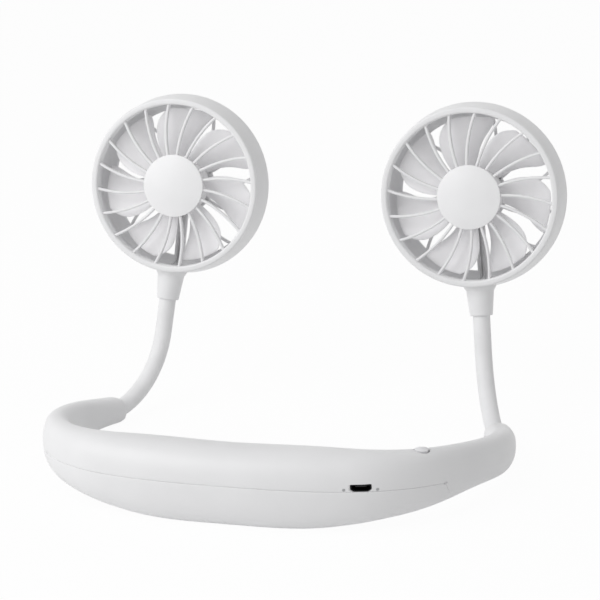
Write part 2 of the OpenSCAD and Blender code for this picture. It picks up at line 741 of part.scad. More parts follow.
module front_grille(side) {
    ring_in = head_r - shroud_wall - latch_wall;
    color("#f4f4f5") at_head(side) {
        rotate_extrude() polygon(concat(
            [[ring_in, grille_seat - latch_depth], [shroud_inner - seat_gap, grille_seat - latch_depth],
             [shroud_inner - seat_gap, grille_seat + running_gap], [head_r, grille_seat + running_gap]],
            corner_arc(head_r - rim_round / 2, half_depth - rim_round / 2, rim_round / 2, 0, 90),
            [[ring_in + rim_round / 2, half_depth], [ring_in, half_depth - rim_round / 2]]));
        translate([0, 0, grille_seat]) {
            for (k = [0 : front_ribs - 1]) rotate([0, 0, k * 360 / front_ribs])
                grille_rib(hub_disc_r - rib_w, ring_in + rib_w / 2, front_turn, rib_w, rib_depth);
            difference() {
                cylinder(h = rib_depth, r = hub_disc_r);
                translate([0, 0, -overrun]) cylinder(h = rib_depth + 2 * overrun, r = cap_pin_r + running_gap);
            }
        }
    }
}
cap_edge = 0.5;
cap_steps = 10;
module hub_cap(side) {
    base = grille_seat + rib_depth + running_gap;
    color("#f3f3f4") at_head(side) rotate_extrude() polygon(concat(
        [[0, grille_seat], [cap_pin_r, grille_seat], [cap_pin_r, base], [cap_r, base]],
        [for (k = [cap_steps : -1 : 0]) let (r = cap_r * k / cap_steps)
            [r, base + cap_edge + (cap_rise - cap_edge) * (1 - pow(k / cap_steps, 2))]]));
}
bush_r = 2.2;
shaft_r = 0.9;
bush_h = 2.4;
module motor_can(side) {
    color("#b9bcc0") at_head(side) difference() {
        translate([0, 0, motor_back]) cylinder(h = motor_front - motor_back, r = motor_r);
        translate([0, 0, motor_back + motor_wall])
            cylinder(h = motor_front - motor_back - 2 * motor_wall, r = motor_r - motor_wall);
        translate([0, 0, motor_front - motor_wall - overrun])
            cylinder(h = motor_wall + 2 * overrun, r = bush_r);
        for (turn = [-1, 1]) translate([turn * screw_spread, 0, motor_back - overrun])
            cylinder(h = motor_wall + 2 * overrun, r = tiny_thread_r + running_gap);
    }
}
module motor_bush(side) {
    color("#b8923f") at_head(side) translate([0, 0, motor_front - bush_h]) difference() {
        cylinder(h = bush_h, r = bush_r);
        translate([0, 0, -overrun]) cylinder(h = bush_h + 2 * overrun, r = shaft_r + running_gap);
    }
}
tiny_screw_run = 3.2;
module motor_screws(side) {
    color("#8f9296") at_head(side) for (turn = [-1, 1])
        translate([turn * screw_spread, 0, -half_depth]) {
            cylinder(h = tiny_head_h - running_gap, r = tiny_head_r);
            cylinder(h = tiny_screw_run, r = tiny_thread_r);
        }
}
lead_spread = 0.65;
fine_lead_r = 0.45;
lead_bed = -half_depth + rib_depth + fine_lead_r + seat_gap;
lead_bend = 1.6;
module head_leads(side) {
    wall_y = -shroud_inner + fine_lead_r + seat_gap;
    color("#c8362f") at_head(side) for (turn = [-1, 1])
        lead([for (p = [[-motor_r - fine_lead_r, lead_bed], [wall_y + 2 * lead_bend, lead_bed],
                        [wall_y + lead_bend / 2, lead_bed + lead_bend / 2],
                        [wall_y, lead_bed + 2 * lead_bend], [wall_y, -2 * lead_bend / 2],
                        [wall_y - lead_bend / 3, -lead_bend / 3], collar_axis(wall_y - lead_bend),
                        collar_axis(-collar_reach + collar_bore_depth - lead_bend),
                        collar_axis(-collar_reach + collar_seat)])
                  [turn * lead_spread, p[0], p[1]]], fine_lead_r);
}

// Fan wheel and motor rotor
cup_r = 12.2;
cup_wall = 1.1;
cup_back = -3;
cup_front = 5.4;
boss_r = 2.4;
blade_rows = 6;
blade_steps = 6;
blade_span_share = 0.86;
blade_back = -4.4;
blade_front = 4.4;
blade_sweep = 16;
root_span_share = 0.8;
function blade_width(u) = 360 / blades * (root_span_share + (blade_span_share - root_span_share) * u)
    * (1 - 0.28 * pow(max(0, u - 0.55) / 0.45, 3));
function blade_point(u, c, lift) =
    let (r = cup_r - cup_wall / 2 + (fan_r - cup_r + cup_wall / 2) * u,
         a = -blade_sweep * u * u + (c - 0.5) * blade_width(u),
         z = blade_back + (blade_front - blade_back) * (c + (1 - 2 * c) * 0.16 * u)
             + blade_thick * sin(180 * c))
    [r * cos(a), r * sin(a), z + lift];
module fan_blade() {
    n = blade_steps + 1;
    top = [for (i = [0 : blade_rows], j = [0 : blade_steps])
        blade_point(i / blade_rows, j / blade_steps, blade_thick / 2)];
    low = [for (i = [0 : blade_rows], j = [0 : blade_steps])
        blade_point(i / blade_rows, j / blade_steps, -blade_thick / 2)];
    k = len(top);
    sheet = [for (i = [0 : blade_rows - 1], j = [0 : blade_steps - 1])
        let (a = i * n + j)
        each [[a, a + 1, a + n + 1], [a, a + n + 1, a + n],
              [k + a, k + a + n + 1, k + a + 1], [k + a, k + a + n, k + a + n + 1]]];
    sides = [for (i = [0 : blade_rows - 1])
        let (a = i * n, b = i * n + blade_steps)
        each [[a, a + n, k + a + n], [a, k + a + n, k + a],
              [b, k + b + n, b + n], [b, k + b, k + b + n]]];
    tips = [for (j = [0 : blade_steps - 1])
        let (a = j, b = blade_rows * n + j)
        each [[a, k + a + 1, a + 1], [a, k + a, k + a + 1],
              [b, b + 1, k + b + 1], [b, k + b + 1, k + b]]];
    polyhedron(concat(top, low), concat(sheet, sides, tips));
}
module fan_wheel(side) {
    color("#dcdde0") at_head(side) {
        difference() {
            union() {
                translate([0, 0, cup_back]) cylinder(h = cup_front - cup_back, r = cup_r);
                for (k = [0 : blades - 1]) rotate([0, 0, k * 360 / blades]) fan_blade();
            }
            difference() {
                translate([0, 0, cup_back - head_depth])
                    cylinder(h = cup_front - cup_wall - cup_back + head_depth, r = cup_r - cup_wall);
                translate([0, 0, motor_front + 2 * seat_gap]) cylinder(h = head_depth, r = boss_r);
            }
            translate([0, 0, cup_back - overrun]) cylinder(h = shaft_top - cup_back + overrun, r = shaft_r);
        }
    }
}
shaft_top = 4.9;
core_r = 6.4;
core_h = 3;
core_front = motor_front - bush_h - 2 * seat_gap;
shaft_back = motor_back + motor_wall + seat_gap;
module motor_shaft(side) {
    color("#d5d7da") at_head(side) translate([0, 0, shaft_back])
        cylinder(h = shaft_top - shaft_back, r = shaft_r);
}
module armature(side) {
    color("#a7642f") at_head(side) translate([0, 0, core_front - core_h]) difference() {
        cylinder(h = core_h, r = core_r);
        translate([0, 0, -overrun]) cylinder(h = core_h + 2 * overrun, r = shaft_r);
    }
}

upper_housing();
lower_cover();
battery_cell();
battery_pad();
circuit_board();
board_components();
usb_socket();
usb_tongue();
indicator_lenses();
switch_board();
tact_switch();
housing_screws();
battery_leads();
left_motor_lead();
right_motor_lead();
power_button();
arm_anchor(left);  // left_arm_anchor
arm_anchor(right);  // right_arm_anchor
arm_link(left, 1);  // left_arm_link_1
arm_link(left, 2);  // left_arm_link_2
arm_link(left, 3);  // left_arm_link_3
arm_link(right, 1);  // right_arm_link_1
arm_link(right, 2);  // right_arm_link_2
arm_link(right, 3);  // right_arm_link_3
arm_sleeve(left, 1);  // left_sleeve_1
arm_sleeve(left, 2);  // left_sleeve_2
arm_sleeve(left, 3);  // left_sleeve_3
arm_sleeve(left, 4);  // left_sleeve_4
arm_sleeve(right, 1);  // right_sleeve_1
arm_sleeve(right, 2);  // right_sleeve_2
arm_sleeve(right, 3);  // right_sleeve_3
arm_sleeve(right, 4);  // right_sleeve_4
head_anchor(left);  // left_head_anchor
head_anchor(right);  // right_head_anchor
rear_housing(left);  // left_rear_housing
rear_housing(right);  // right_rear_housing
front_grille(left);  // left_front_grille
front_grille(right);  // right_front_grille
hub_cap(left);  // left_hub_cap
hub_cap(right);  // right_hub_cap
motor_can(left);  // left_motor_can
motor_can(right);  // right_motor_can
motor_bush(left);  // left_motor_bush
motor_bush(right);  // right_motor_bush
motor_screws(left);  // left_motor_screws
motor_screws(right);  // right_motor_screws
head_leads(left);  // left_head_leads
head_leads(right);  // right_head_leads
fan_wheel(left);  // left_fan_wheel
fan_wheel(right);  // right_fan_wheel
motor_shaft(left);  // left_motor_shaft
motor_shaft(right);  // right_motor_shaft
armature(left);  // left_armature
armature(right);  // right_armature
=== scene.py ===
"""Dressed scene of the electric neck fan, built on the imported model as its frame.

The neckband, the arms' sleeves and the fan heads are made again here as smooth, finely
detailed pieces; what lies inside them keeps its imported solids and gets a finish.
Lengths are in metres. Places along the band are lengths s from the centre of its back,
and places along an arm are lengths q from the tip of its leg.
"""

import json
import logging
import math
from dataclasses import dataclass, field
from enum import Enum
from functools import cached_property
from typing import Sequence

import bmesh
import bpy
from mathutils import Matrix, Vector


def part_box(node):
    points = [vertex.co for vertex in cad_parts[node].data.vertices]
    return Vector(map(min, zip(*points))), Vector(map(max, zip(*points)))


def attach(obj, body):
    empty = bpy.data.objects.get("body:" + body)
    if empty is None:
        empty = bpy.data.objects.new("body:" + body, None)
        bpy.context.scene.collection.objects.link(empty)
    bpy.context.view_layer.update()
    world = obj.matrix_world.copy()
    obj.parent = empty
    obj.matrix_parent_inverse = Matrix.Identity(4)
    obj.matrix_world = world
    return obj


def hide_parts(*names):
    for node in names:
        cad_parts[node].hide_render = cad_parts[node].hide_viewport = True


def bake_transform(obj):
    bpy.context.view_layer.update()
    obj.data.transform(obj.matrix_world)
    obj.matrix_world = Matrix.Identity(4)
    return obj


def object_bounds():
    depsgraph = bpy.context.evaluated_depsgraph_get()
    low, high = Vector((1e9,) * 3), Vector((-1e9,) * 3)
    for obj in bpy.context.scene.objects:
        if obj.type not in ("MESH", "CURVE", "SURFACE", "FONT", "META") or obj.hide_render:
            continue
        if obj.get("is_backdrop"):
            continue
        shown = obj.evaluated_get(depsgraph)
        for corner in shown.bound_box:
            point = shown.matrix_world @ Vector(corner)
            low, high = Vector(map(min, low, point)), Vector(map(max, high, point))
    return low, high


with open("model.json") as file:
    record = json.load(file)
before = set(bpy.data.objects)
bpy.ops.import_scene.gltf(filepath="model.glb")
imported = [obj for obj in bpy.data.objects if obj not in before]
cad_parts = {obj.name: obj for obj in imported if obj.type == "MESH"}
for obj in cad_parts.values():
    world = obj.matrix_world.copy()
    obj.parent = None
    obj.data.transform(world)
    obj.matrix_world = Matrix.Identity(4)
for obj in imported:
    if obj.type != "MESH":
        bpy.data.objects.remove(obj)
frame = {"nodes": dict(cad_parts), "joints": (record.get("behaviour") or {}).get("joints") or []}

MM = 0.001
DEGREE = math.pi / 180
MERGE_REACH = 0.0002 * MM
TINY = 1e-9

Colour = tuple[float, float, float]
Outline = list[tuple[float, float]]
log = logging.getLogger("neck_fan")


class Side(Enum):
    """The two halves of the neck fan, seen from its convex back."""

    LEFT = -1
    RIGHT = 1

    @property
    def prefix(self) -> str:
        """Start of the names of this side's nodes and bodies."""
        return self.name.lower()


class Cut(Enum):
    """What a tool does to a form."""

    AWAY = "DIFFERENCE"
    ON = "UNION"


def srgb(code: str) -> Colour:
    """Turns a six-digit colour code into linear values.

    Args:
        code: red, green and blue as two hexadecimal digits each.

    Returns:
        The linear red, green and blue shares.
    """
    values = [int(code[k:k + 2], 16) / 255 for k in (0, 2, 4)]
    linear = [v / 12.92 if v <= 0.04045 else ((v + 0.055) / 1.055) ** 2.4 for v in values]
    return (linear[0], linear[1], linear[2])


# Forms


@dataclass
class Form:
    """A closed surface in the making.

    Attributes:
        points: its points, in the shared frame or in a piece's own frame.
        faces: its faces, as indices of points.
    """

    points: list[Vector] = field(default_factory=list)
    faces: list[tuple[int, ...]] = field(default_factory=list)

    def add(self, other: "Form") -> "Form":
        """Adds another closed surface to this one.

        Args:
            other: the surface that is added.

        Returns:
            This form, so that calls can follow one another.
        """
        start = len(self.points)
        self.points += other.points
        self.faces += [tuple(start + k for k in face) for face in other.faces]
        return self

    def moved(self, matrix: Matrix) -> "Form":
        """Copies the form to another place.

        Args:
            matrix: the move.

        Returns:
            The moved copy.
        """
        return Form([matrix @ p for p in self.points], list(self.faces))

    def mesh(self, name: str) -> bpy.types.Mesh:
        """Makes a mesh of the form, with merged points, no loose edges and outward faces.

        Args:
            name: the mesh's name.

        Returns:
            The mesh.
        """
        mesh = bpy.data.meshes.new(name)
        mesh.from_pydata([tuple(p) for p in self.points], [], self.faces)
        work = bmesh.new()
        work.from_mesh(mesh)
        bmesh.ops.remove_doubles(work, verts=work.verts, dist=MERGE_REACH)
        loose = [edge for edge in work.edges if not edge.link_faces]
        bmesh.ops.delete(work, geom=loose, context="EDGES")
        bmesh.ops.recalc_face_normals(work, faces=work.faces)
        work.to_mesh(mesh)
        work.free()
        return mesh

    def shaped(self, tool: "Form", cut: Cut) -> "Form":
        """Cuts a tool out of the form or joins it on.

        Args:
            tool: the closed surface to work with.
            cut: whether the tool is taken away or joined on.

        Returns:
            The new form.
        """
        things = [bpy.data.objects.new(name, form.mesh(name))
                  for name, form in (("blank", self), ("tool", tool))]
        for thing in things:
            bpy.context.scene.collection.objects.link(thing)
        step = things[0].modifiers.new("cut", "BOOLEAN")
        step.operation = cut.value
        step.solver = "EXACT"
        step.object = things[1]
        bpy.context.view_layer.update()
        result = things[0].evaluated_get(bpy.context.evaluated_depsgraph_get()).to_mesh()
        form = Form([v.co.copy() for v in result.vertices],
                    [tuple(face.vertices) for face in result.polygons])
        for thing in things:
            mesh = thing.data
            bpy.data.objects.remove(thing)
            bpy.data.meshes.remove(mesh)
        return form


def loft(rings: Sequence[Sequence[Vector]], looped: bool = False, capped: bool = True) -> Form:
    """Lays a skin over rings that have equal numbers of points.

    Args:
        rings: closed rings of points, in order.
        looped: whether the last ring joins the first.
        capped: whether the end rings are closed where the skin isn't looped.

    Returns:
        The form.
    """
    count = len(rings[0])
    total = len(rings)
    points = [p for ring in rings for p in ring]
    faces: list[tuple[int, ...]] = []
    for i in range(total if looped else total - 1):
        a, b = i * count, (i + 1) % total * count
        faces += [(a + j, a + (j + 1) % count, b + (j + 1) % count, b + j) for j in range(count)]
    if capped and not looped:
        faces += [tuple(range(count)), tuple(range((total - 1) * count, total * count))]
    return Form(points, faces)


def rounded(corners: Sequence[tuple[float, float, float]], steps: int = 6) -> Outline:
    """Draws an outline through corners that are each turned off with a radius.

    Args:
        corners: two places and a radius for each corner, in order.
        steps: number of lines in each turned corner.

    Returns:
        The outline's points.
    """
    edge_share = 0.49
    outline: Outline = []
    for k, (x, y, radius) in enumerate(corners):
        here = Vector((x, y))
        before = Vector(corners[k - 1][:2]) - here
        after = Vector(corners[(k + 1) % len(corners)][:2]) - here
        if radius <= 0 or before.length * after.length == 0:
            outline.append((x, y))
            continue
        half = before.angle(after) / 2
        reach = min(radius / math.tan(half), edge_share * before.length, edge_share * after.length)
        start = here + before.normalized() * reach
        end = here + after.normalized() * reach
        middle = here + (before.normalized() + after.normalized()).normalized() * reach / math.cos(half)
        a, b = start - middle, end - middle
        turn = a.angle(b)
        for i in range(steps + 1):
            t = i / steps
            p = middle + (math.sin((1 - t) * turn) * a + math.sin(t * turn) * b) / math.sin(turn)
            outline.append((p.x, p.y))
    return outline


def lathe(outline: Outline, turns: int = 128) -> Form:
    """Turns a closed outline of radius and height about the Z axis.

    Args:
        outline: radius and height of its points; points on the axis are merged.
        turns: number of steps round the axis.

    Returns:
        The turned form.
    """
    rings = []
    for k in range(turns):
        a = 2 * math.pi * k / turns
        rings.append([Vector((r * math.cos(a), r * math.sin(a), z)) for r, z in outline])
    return loft(rings, looped=True)


def circle(radius: float, turns: int, height: float = 0) -> list[Vector]:
    """Draws a level ring round the Z axis.

    Args:
        radius: its radius.
        turns: number of its points.
        height: its height.

    Returns:
        The ring's points.
    """
    return [Vector((radius * math.cos(a), radius * math.sin(a), height))
            for a in (2 * math.pi * k / turns for k in range(turns))]


def rod(radius: float, low: float, high: float, turns: int = 64) -> Form:
    """Makes a plain round tool along the Z axis.

    Args:
        radius: its radius.
        low: height of its lower end.
        high: height of its upper end.
        turns: number of its sides.

    Returns:
        The tool.
    """
    return loft([circle(radius, turns, height) for height in (low, high)])


def joint_place(name: str) -> Matrix:
    """Returns the move to a packed joint's place."""
    joint = next(j for j in frame["joints"] if j["name"] == name)
    return Matrix.Translation(joint["pos_m"])


def show(name: str, form: Form, finish: "Finish", body: str,
         nodes: Sequence[str] = (), crease: float = 38) -> bpy.types.Object:
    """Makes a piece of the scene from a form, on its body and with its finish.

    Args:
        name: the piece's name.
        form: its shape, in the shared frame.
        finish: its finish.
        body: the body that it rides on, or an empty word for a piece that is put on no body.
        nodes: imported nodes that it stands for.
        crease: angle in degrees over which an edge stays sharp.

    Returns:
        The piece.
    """
    mesh = form.mesh(name)
    mesh.shade_smooth()
    mesh.set_sharp_from_angle(angle=crease * DEGREE)
    mesh.materials.append(finish.material())
    piece = bpy.data.objects.new(name, mesh)
    bpy.context.scene.collection.objects.link(piece)
    if nodes:
        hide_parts(*nodes)
    if body:
        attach(piece, body)
    log.info("%s: %d faces on %s", name, len(mesh.polygons), body or "two bodies")
    return piece


# Finishes


class Sheet:
    """The node sheet of one finish, with short ways to add and join its nodes.

    Attributes:
        material: the material that it belongs to.
        tree: the material's nodes.
        shader: the node that gives the surface its look.
        place: places on the surface, in the piece's own frame.
    """

    def __init__(self, name: str) -> None:
        """Starts a material with one shader.

        Args:
            name: the material's name.
        """
        self.material = bpy.data.materials.new(name)
        self.material.use_nodes = True
        self.tree = self.material.node_tree
        self.tree.nodes.clear()
        self.shader = self.tree.nodes.new("ShaderNodeBsdfPrincipled")
        output = self.tree.nodes.new("ShaderNodeOutputMaterial")
        self.join(self.shader.outputs["BSDF"], output.inputs["Surface"])
        self.place = self.tree.nodes.new("ShaderNodeTexCoord").outputs["Object"]

    def join(self, source: bpy.types.NodeSocket, target: bpy.types.NodeSocket) -> None:
        """Links one socket to another."""
        self.tree.links.new(source, target)

    def fix(self, **values: float | tuple[float, float, float]) -> None:
        """Sets plain values on the shader's own sockets.

        Args:
            values: socket names, with underscores for spaces, and their values.
        """
        for name, value in values.items():
            self.shader.inputs[name.replace("_", " ")].default_value = value

    def stretched(self, scale: Sequence[float]) -> bpy.types.NodeSocket:
        """Stretches the surface's places.

        Args:
            scale: factors along X, Y and Z.

        Returns:
            The stretched places.
        """
        mapping = self.tree.nodes.new("ShaderNodeMapping")
        mapping.inputs["Scale"].default_value = scale
        self.join(self.place, mapping.inputs["Vector"])
        return mapping.outputs["Vector"]

    def noise(self, size: float, detail: float = 2,
              place: bpy.types.NodeSocket | None = None) -> bpy.types.NodeSocket:
        """Adds soft noise.

        Args:
            size: size of its clouds.
            detail: number of finer layers.
            place: places to use instead of the plain ones.

        Returns:
            The noise, about 0.3 to 0.7.
        """
        node = self.tree.nodes.new("ShaderNodeTexNoise")
        node.inputs["Scale"].default_value = 1 / size
        node.inputs["Detail"].default_value = detail
        self.join(place or self.place, node.inputs["Vector"])
        return node.outputs["Fac"]

    def cells(self, size: float) -> bpy.types.NodeSocket:
        """Adds a pattern of round cells.

        Args:
            size: distance between neighbours.

        Returns:
            The distance to the nearest cell's middle, as a share of the size.
        """
        node = self.tree.nodes.new("ShaderNodeTexVoronoi")
        node.inputs["Scale"].default_value = 1 / size
        self.join(self.place, node.inputs["Vector"])
        return node.outputs["Distance"]

    def waves(self, size: float, direction: str) -> bpy.types.NodeSocket:
        """Adds fine bands.

        Args:
            size: width of a band and its gap.
            direction: the axis across the bands.

        Returns:
            The bands, 0 to 1.
        """
        scale_of_a_band, waver = 0.314, 0.4
        node = self.tree.nodes.new("ShaderNodeTexWave")
        node.bands_direction = direction
        node.inputs["Scale"].default_value = scale_of_a_band / size
        node.inputs["Distortion"].default_value = waver
        self.join(self.place, node.inputs["Vector"])
        return node.outputs["Fac"]

    def span(self, source: bpy.types.NodeSocket, low: float, high: float,
             start: float = 0.3, end: float = 0.7) -> bpy.types.NodeSocket:
        """Spreads a pattern over a range of values.

        Args:
            source: the pattern.
            low: value where the pattern is at its start.
            high: value where the pattern is at its end.
            start: the pattern's start.
            end: the pattern's end.

        Returns:
            The spread values.
        """
        node = self.tree.nodes.new("ShaderNodeMapRange")
        for name, value in (("From Min", start), ("From Max", end), ("To Min", low), ("To Max", high)):
            node.inputs[name].default_value = value
        self.join(source, node.inputs["Value"])
        return node.outputs["Result"]

    def paint(self, pattern: bpy.types.NodeSocket, colour: Colour, tone: float) -> None:
        """Leads a colour to the shader, darker where a pattern is low.

        Args:
            pattern: the pattern, from 0 to 1.
            colour: colour where it is 1.
            tone: share of the colour that stays where it is 0.
        """
        node = self.tree.nodes.new("ShaderNodeMix")
        node.data_type = "RGBA"
        sockets = {socket.identifier: socket for socket in (*node.inputs, *node.outputs)}
        sockets["A_Color"].default_value = (*(value * tone for value in colour), 1)
        sockets["B_Color"].default_value = (*colour, 1)
        self.join(pattern, node.inputs["Factor"])
        self.join(sockets["Result_Color"], self.shader.inputs["Base Color"])

    def roughen(self, pattern: bpy.types.NodeSocket, rough: tuple[float, float],
                start: float = 0.3, end: float = 0.7) -> None:
        """Leads a roughness to the shader.

        Args:
            pattern: the pattern that it follows.
            rough: roughness where the pattern is at its start and at its end.
            start: the pattern's start.
            end: the pattern's end.
        """
        self.join(self.span(pattern, *rough, start, end), self.shader.inputs["Roughness"])

    def relief(self, height: bpy.types.NodeSocket, depth: float) -> None:
        """Lays a relief on the surface, over those that it has already.

        Args:
            height: the pattern of the relief.
            depth: its depth.
        """
        node = self.tree.nodes.new("ShaderNodeBump")
        node.inputs["Distance"].default_value = depth
        node.inputs["Strength"].default_value = 1
        self.join(height, node.inputs["Height"])
        old = self.shader.inputs["Normal"].links
        if old:
            self.join(old[0].from_socket, node.inputs["Normal"])
        self.join(node.outputs["Normal"], self.shader.inputs["Normal"])


def around(middle: float, reach: tuple[float, float]) -> tuple[float, float]:
    """Returns a middle value's range, from how far it goes under and over it."""
    return middle + reach[0], middle + reach[1]


@dataclass(frozen=True)
class Finish:
    """A surface finish.

    Attributes:
        name: name of its material.
        colour: its main colour, linear.
    """

    name: str
    colour: Colour

    def material(self) -> bpy.types.Material:
        """Gives the finish's material, which is made once.

        Returns:
            The material.
        """
        made = bpy.data.materials.get(self.name)
        if made is None:
            sheet = Sheet(self.name)
            self.dress(sheet)
            made = sheet.material
        return made

    def dress(self, sheet: Sheet) -> None:
        """Fills the material's sheet. Every kind of finish has its own way."""
        raise NotImplementedError


@dataclass(frozen=True)
class MouldedPlastic(Finish):
    """Moulded plastic with a faint satin grain and slight flow clouds.

    Attributes:
        roughness, uneven: middle of its roughness, and how far it goes under and over that.
        cloud: size of the clouds in its tone.
        tone: share of the colour that stays in the darkest cloud.
        grain: size of the mould's grain.
        depth: depth of the grain.
        glow: how much of the light goes through thin walls.
        glow_reach: how far that light goes.
        sheen, sheen_roughness: strength and dullness of its sheen.
        index: how strongly it bends light.
    """

    roughness: float = 0.42
    uneven: tuple[float, float] = (-0.05, 0.06)
    cloud: float = 18 * MM
    tone: float = 0.972
    grain: float = 0.32 * MM
    depth: float = 0.006 * MM
    glow: float = 0.0
    glow_reach: float = 2.5 * MM
    sheen: float = 0.0
    sheen_roughness: float = 0.6
    index: float = 1.47

    def dress(self, sheet: Sheet) -> None:
        """Lays the clouds, the grain and a slightly uneven gloss.

        Args:
            sheet: the material's sheet.
        """
        sheet.paint(sheet.span(sheet.noise(self.cloud, detail=3), 0, 1), self.colour, self.tone)
        sheet.roughen(sheet.noise(self.cloud / 4, detail=4), around(self.roughness, self.uneven))
        sheet.relief(sheet.noise(self.grain, detail=2), self.depth)
        sheet.relief(sheet.noise(self.cloud / 2, detail=1), self.depth * 2)
        sheet.fix(IOR=self.index, Subsurface_Weight=self.glow, Subsurface_Radius=(1, 1, 1),
                  Subsurface_Scale=self.glow_reach, Sheen_Weight=self.sheen,
                  Sheen_Roughness=self.sheen_roughness)


@dataclass(frozen=True)
class SoftSleeve(Finish):
    """Soft silicone skin with a dry, even look.

    Attributes:
        rough: range of its roughness.
        tone: share of the colour that stays in the handling marks.
        mark, mark_span: size of the marks and the noise that they follow.
        patch: size of the duller patches.
        grain, depth: size and depth of its fine grain.
        sheen, sheen_roughness: strength and dullness of its sheen.
        index: how strongly it bends light.
    """

    rough: tuple[float, float] = (0.5, 0.64)
    tone: float = 0.95
    mark_span: tuple[float, float] = (0.35, 0.7)
    mark: float = 9 * MM
    patch: float = 3 * MM
    grain: float = 0.25 * MM
    depth: float = 0.012 * MM
    sheen: float = 0.12
    sheen_roughness: float = 0.45
    index: float = 1.41

    def dress(self, sheet: Sheet) -> None:
        """Lays faint handling marks, a dry grain and a soft sheen.

        Args:
            sheet: the material's sheet.
        """
        marks = sheet.span(sheet.noise(self.mark, detail=5), 0, 1, *self.mark_span)
        sheet.paint(marks, self.colour, self.tone)
        sheet.roughen(sheet.noise(self.patch, detail=3), self.rough)
        sheet.relief(sheet.noise(self.grain, detail=3), self.depth)
        sheet.fix(Sheen_Weight=self.sheen, Sheen_Roughness=self.sheen_roughness, IOR=self.index)


@dataclass(frozen=True)
class Metal(Finish):
    """Drawn or turned metal with fine lines.

    Attributes:
        roughness, uneven: middle of its roughness, and how far it goes under and over that.
        stretch: how far the lines are stretched along X.
        line, depth: width and depth of a line.
        stain, tone: size of the stains, and share of the colour that stays in them.
    """

    roughness: float = 0.3
    uneven: tuple[float, float] = (-0.08, 0.14)
    stretch: float = 0.06
    line: float = 0.12 * MM
    depth: float = 0.004 * MM
    stain: float = 4 * MM
    tone: float = 0.8

    def dress(self, sheet: Sheet) -> None:
        """Lays stains in the tone, and stretched lines in the gloss and the relief.

        Args:
            sheet: the material's sheet.
        """
        drawn = sheet.noise(self.line, detail=3, place=sheet.stretched((self.stretch, 1, 1)))
        sheet.paint(sheet.span(sheet.noise(self.stain, detail=4), 0, 1), self.colour, self.tone)
        sheet.roughen(drawn, around(self.roughness, self.uneven))
        sheet.relief(drawn, self.depth)
        sheet.fix(Metallic=1)


@dataclass(frozen=True)
class Winding(Finish):
    """Enamelled wire, wound side by side.

    Attributes:
        wire: thickness of the wire.
        tone: share of the colour that stays between two wires, where shade is painted into the grooves.
        patch: size of the glossier patches.
        rough: range of its roughness.
        metal, coat: how far it looks like metal and like enamel.
    """

    wire: float = 0.25 * MM
    tone: float = 0.35
    patch: float = 1 * MM
    rough: tuple[float, float] = (0.25, 0.4)
    metal: float = 0.85
    coat: float = 0.3

    def dress(self, sheet: Sheet) -> None:
        """Lays the wires' bands in relief, with painted shade in the grooves between two wires.

        Args:
            sheet: the material's sheet.
        """
        bands = sheet.waves(self.wire, "Z")
        # Painted shade: the colour darkens between two wires, in the grooves that fall in shade.
        sheet.paint(bands, self.colour, self.tone)
        sheet.roughen(sheet.noise(self.patch, detail=2), self.rough)
        sheet.relief(bands, self.wire / 3)
        sheet.fix(Metallic=self.metal, Coat_Weight=self.coat)


@dataclass(frozen=True)
class ShrinkWrap(Finish):
    """Thin glossy film, shrunk on with slight wrinkles.

    Attributes:
        fold, stretch, depth: size of the wrinkles, their stretch along X and their depth.
        tone: share of the colour that stays in the wrinkles' hollows, as painted shade.
        patch: size of the glossier patches.
        rough: range of its roughness.
        coat, coat_roughness: strength and dullness of its gloss.
    """

    fold: float = 3 * MM
    stretch: float = 0.35
    depth: float = 0.15 * MM
    tone: float = 0.72
    patch: float = 2 * MM
    rough: tuple[float, float] = (0.18, 0.34)
    coat: float = 0.4
    coat_roughness: float = 0.12

    def dress(self, sheet: Sheet) -> None:
        """Lays the wrinkles in relief under a gloss, with painted shade in their hollows.

        Args:
            sheet: the material's sheet.
        """
        folds = sheet.noise(self.fold, detail=4, place=sheet.stretched((self.stretch, 1, 1)))
        # Painted shade: the colour darkens where the wrinkles' relief is low.
        sheet.paint(sheet.span(folds, 0, 1), self.colour, self.tone)
        sheet.roughen(sheet.noise(self.patch, detail=2), self.rough)
        sheet.relief(folds, self.depth)
        sheet.fix(Coat_Weight=self.coat, Coat_Roughness=self.coat_roughness)


@dataclass(frozen=True)
class Foam(Finish):
    """Open foam.

    Attributes:
        pore, depth: distance between two pores and their depth.
        pore_span: distances from a pore's middle, as shares, where its painted shade is darkest and where
            it ends.
        tone: share of the colour that stays in the pores, as painted shade in their hollows.
        patch: size of the duller patches.
        rough: range of its roughness.
    """

    pore: float = 0.6 * MM
    depth: float = 0.2 * MM
    pore_span: tuple[float, float] = (0.1, 0.6)
    tone: float = 0.3
    patch: float = 2 * MM
    rough: tuple[float, float] = (0.85, 1)

    def dress(self, sheet: Sheet) -> None:
        """Lays the pores in relief, with painted shade in their hollows.

        Args:
            sheet: the material's sheet.
        """
        pores = sheet.cells(self.pore)
        # Painted shade: the colour darkens towards each pore's middle, where the hollow falls in shade.
        sheet.paint(sheet.span(pores, 0, 1, *self.pore_span), self.colour, self.tone)
        sheet.roughen(sheet.noise(self.patch, detail=2), self.rough)
        sheet.relief(pores, self.depth)


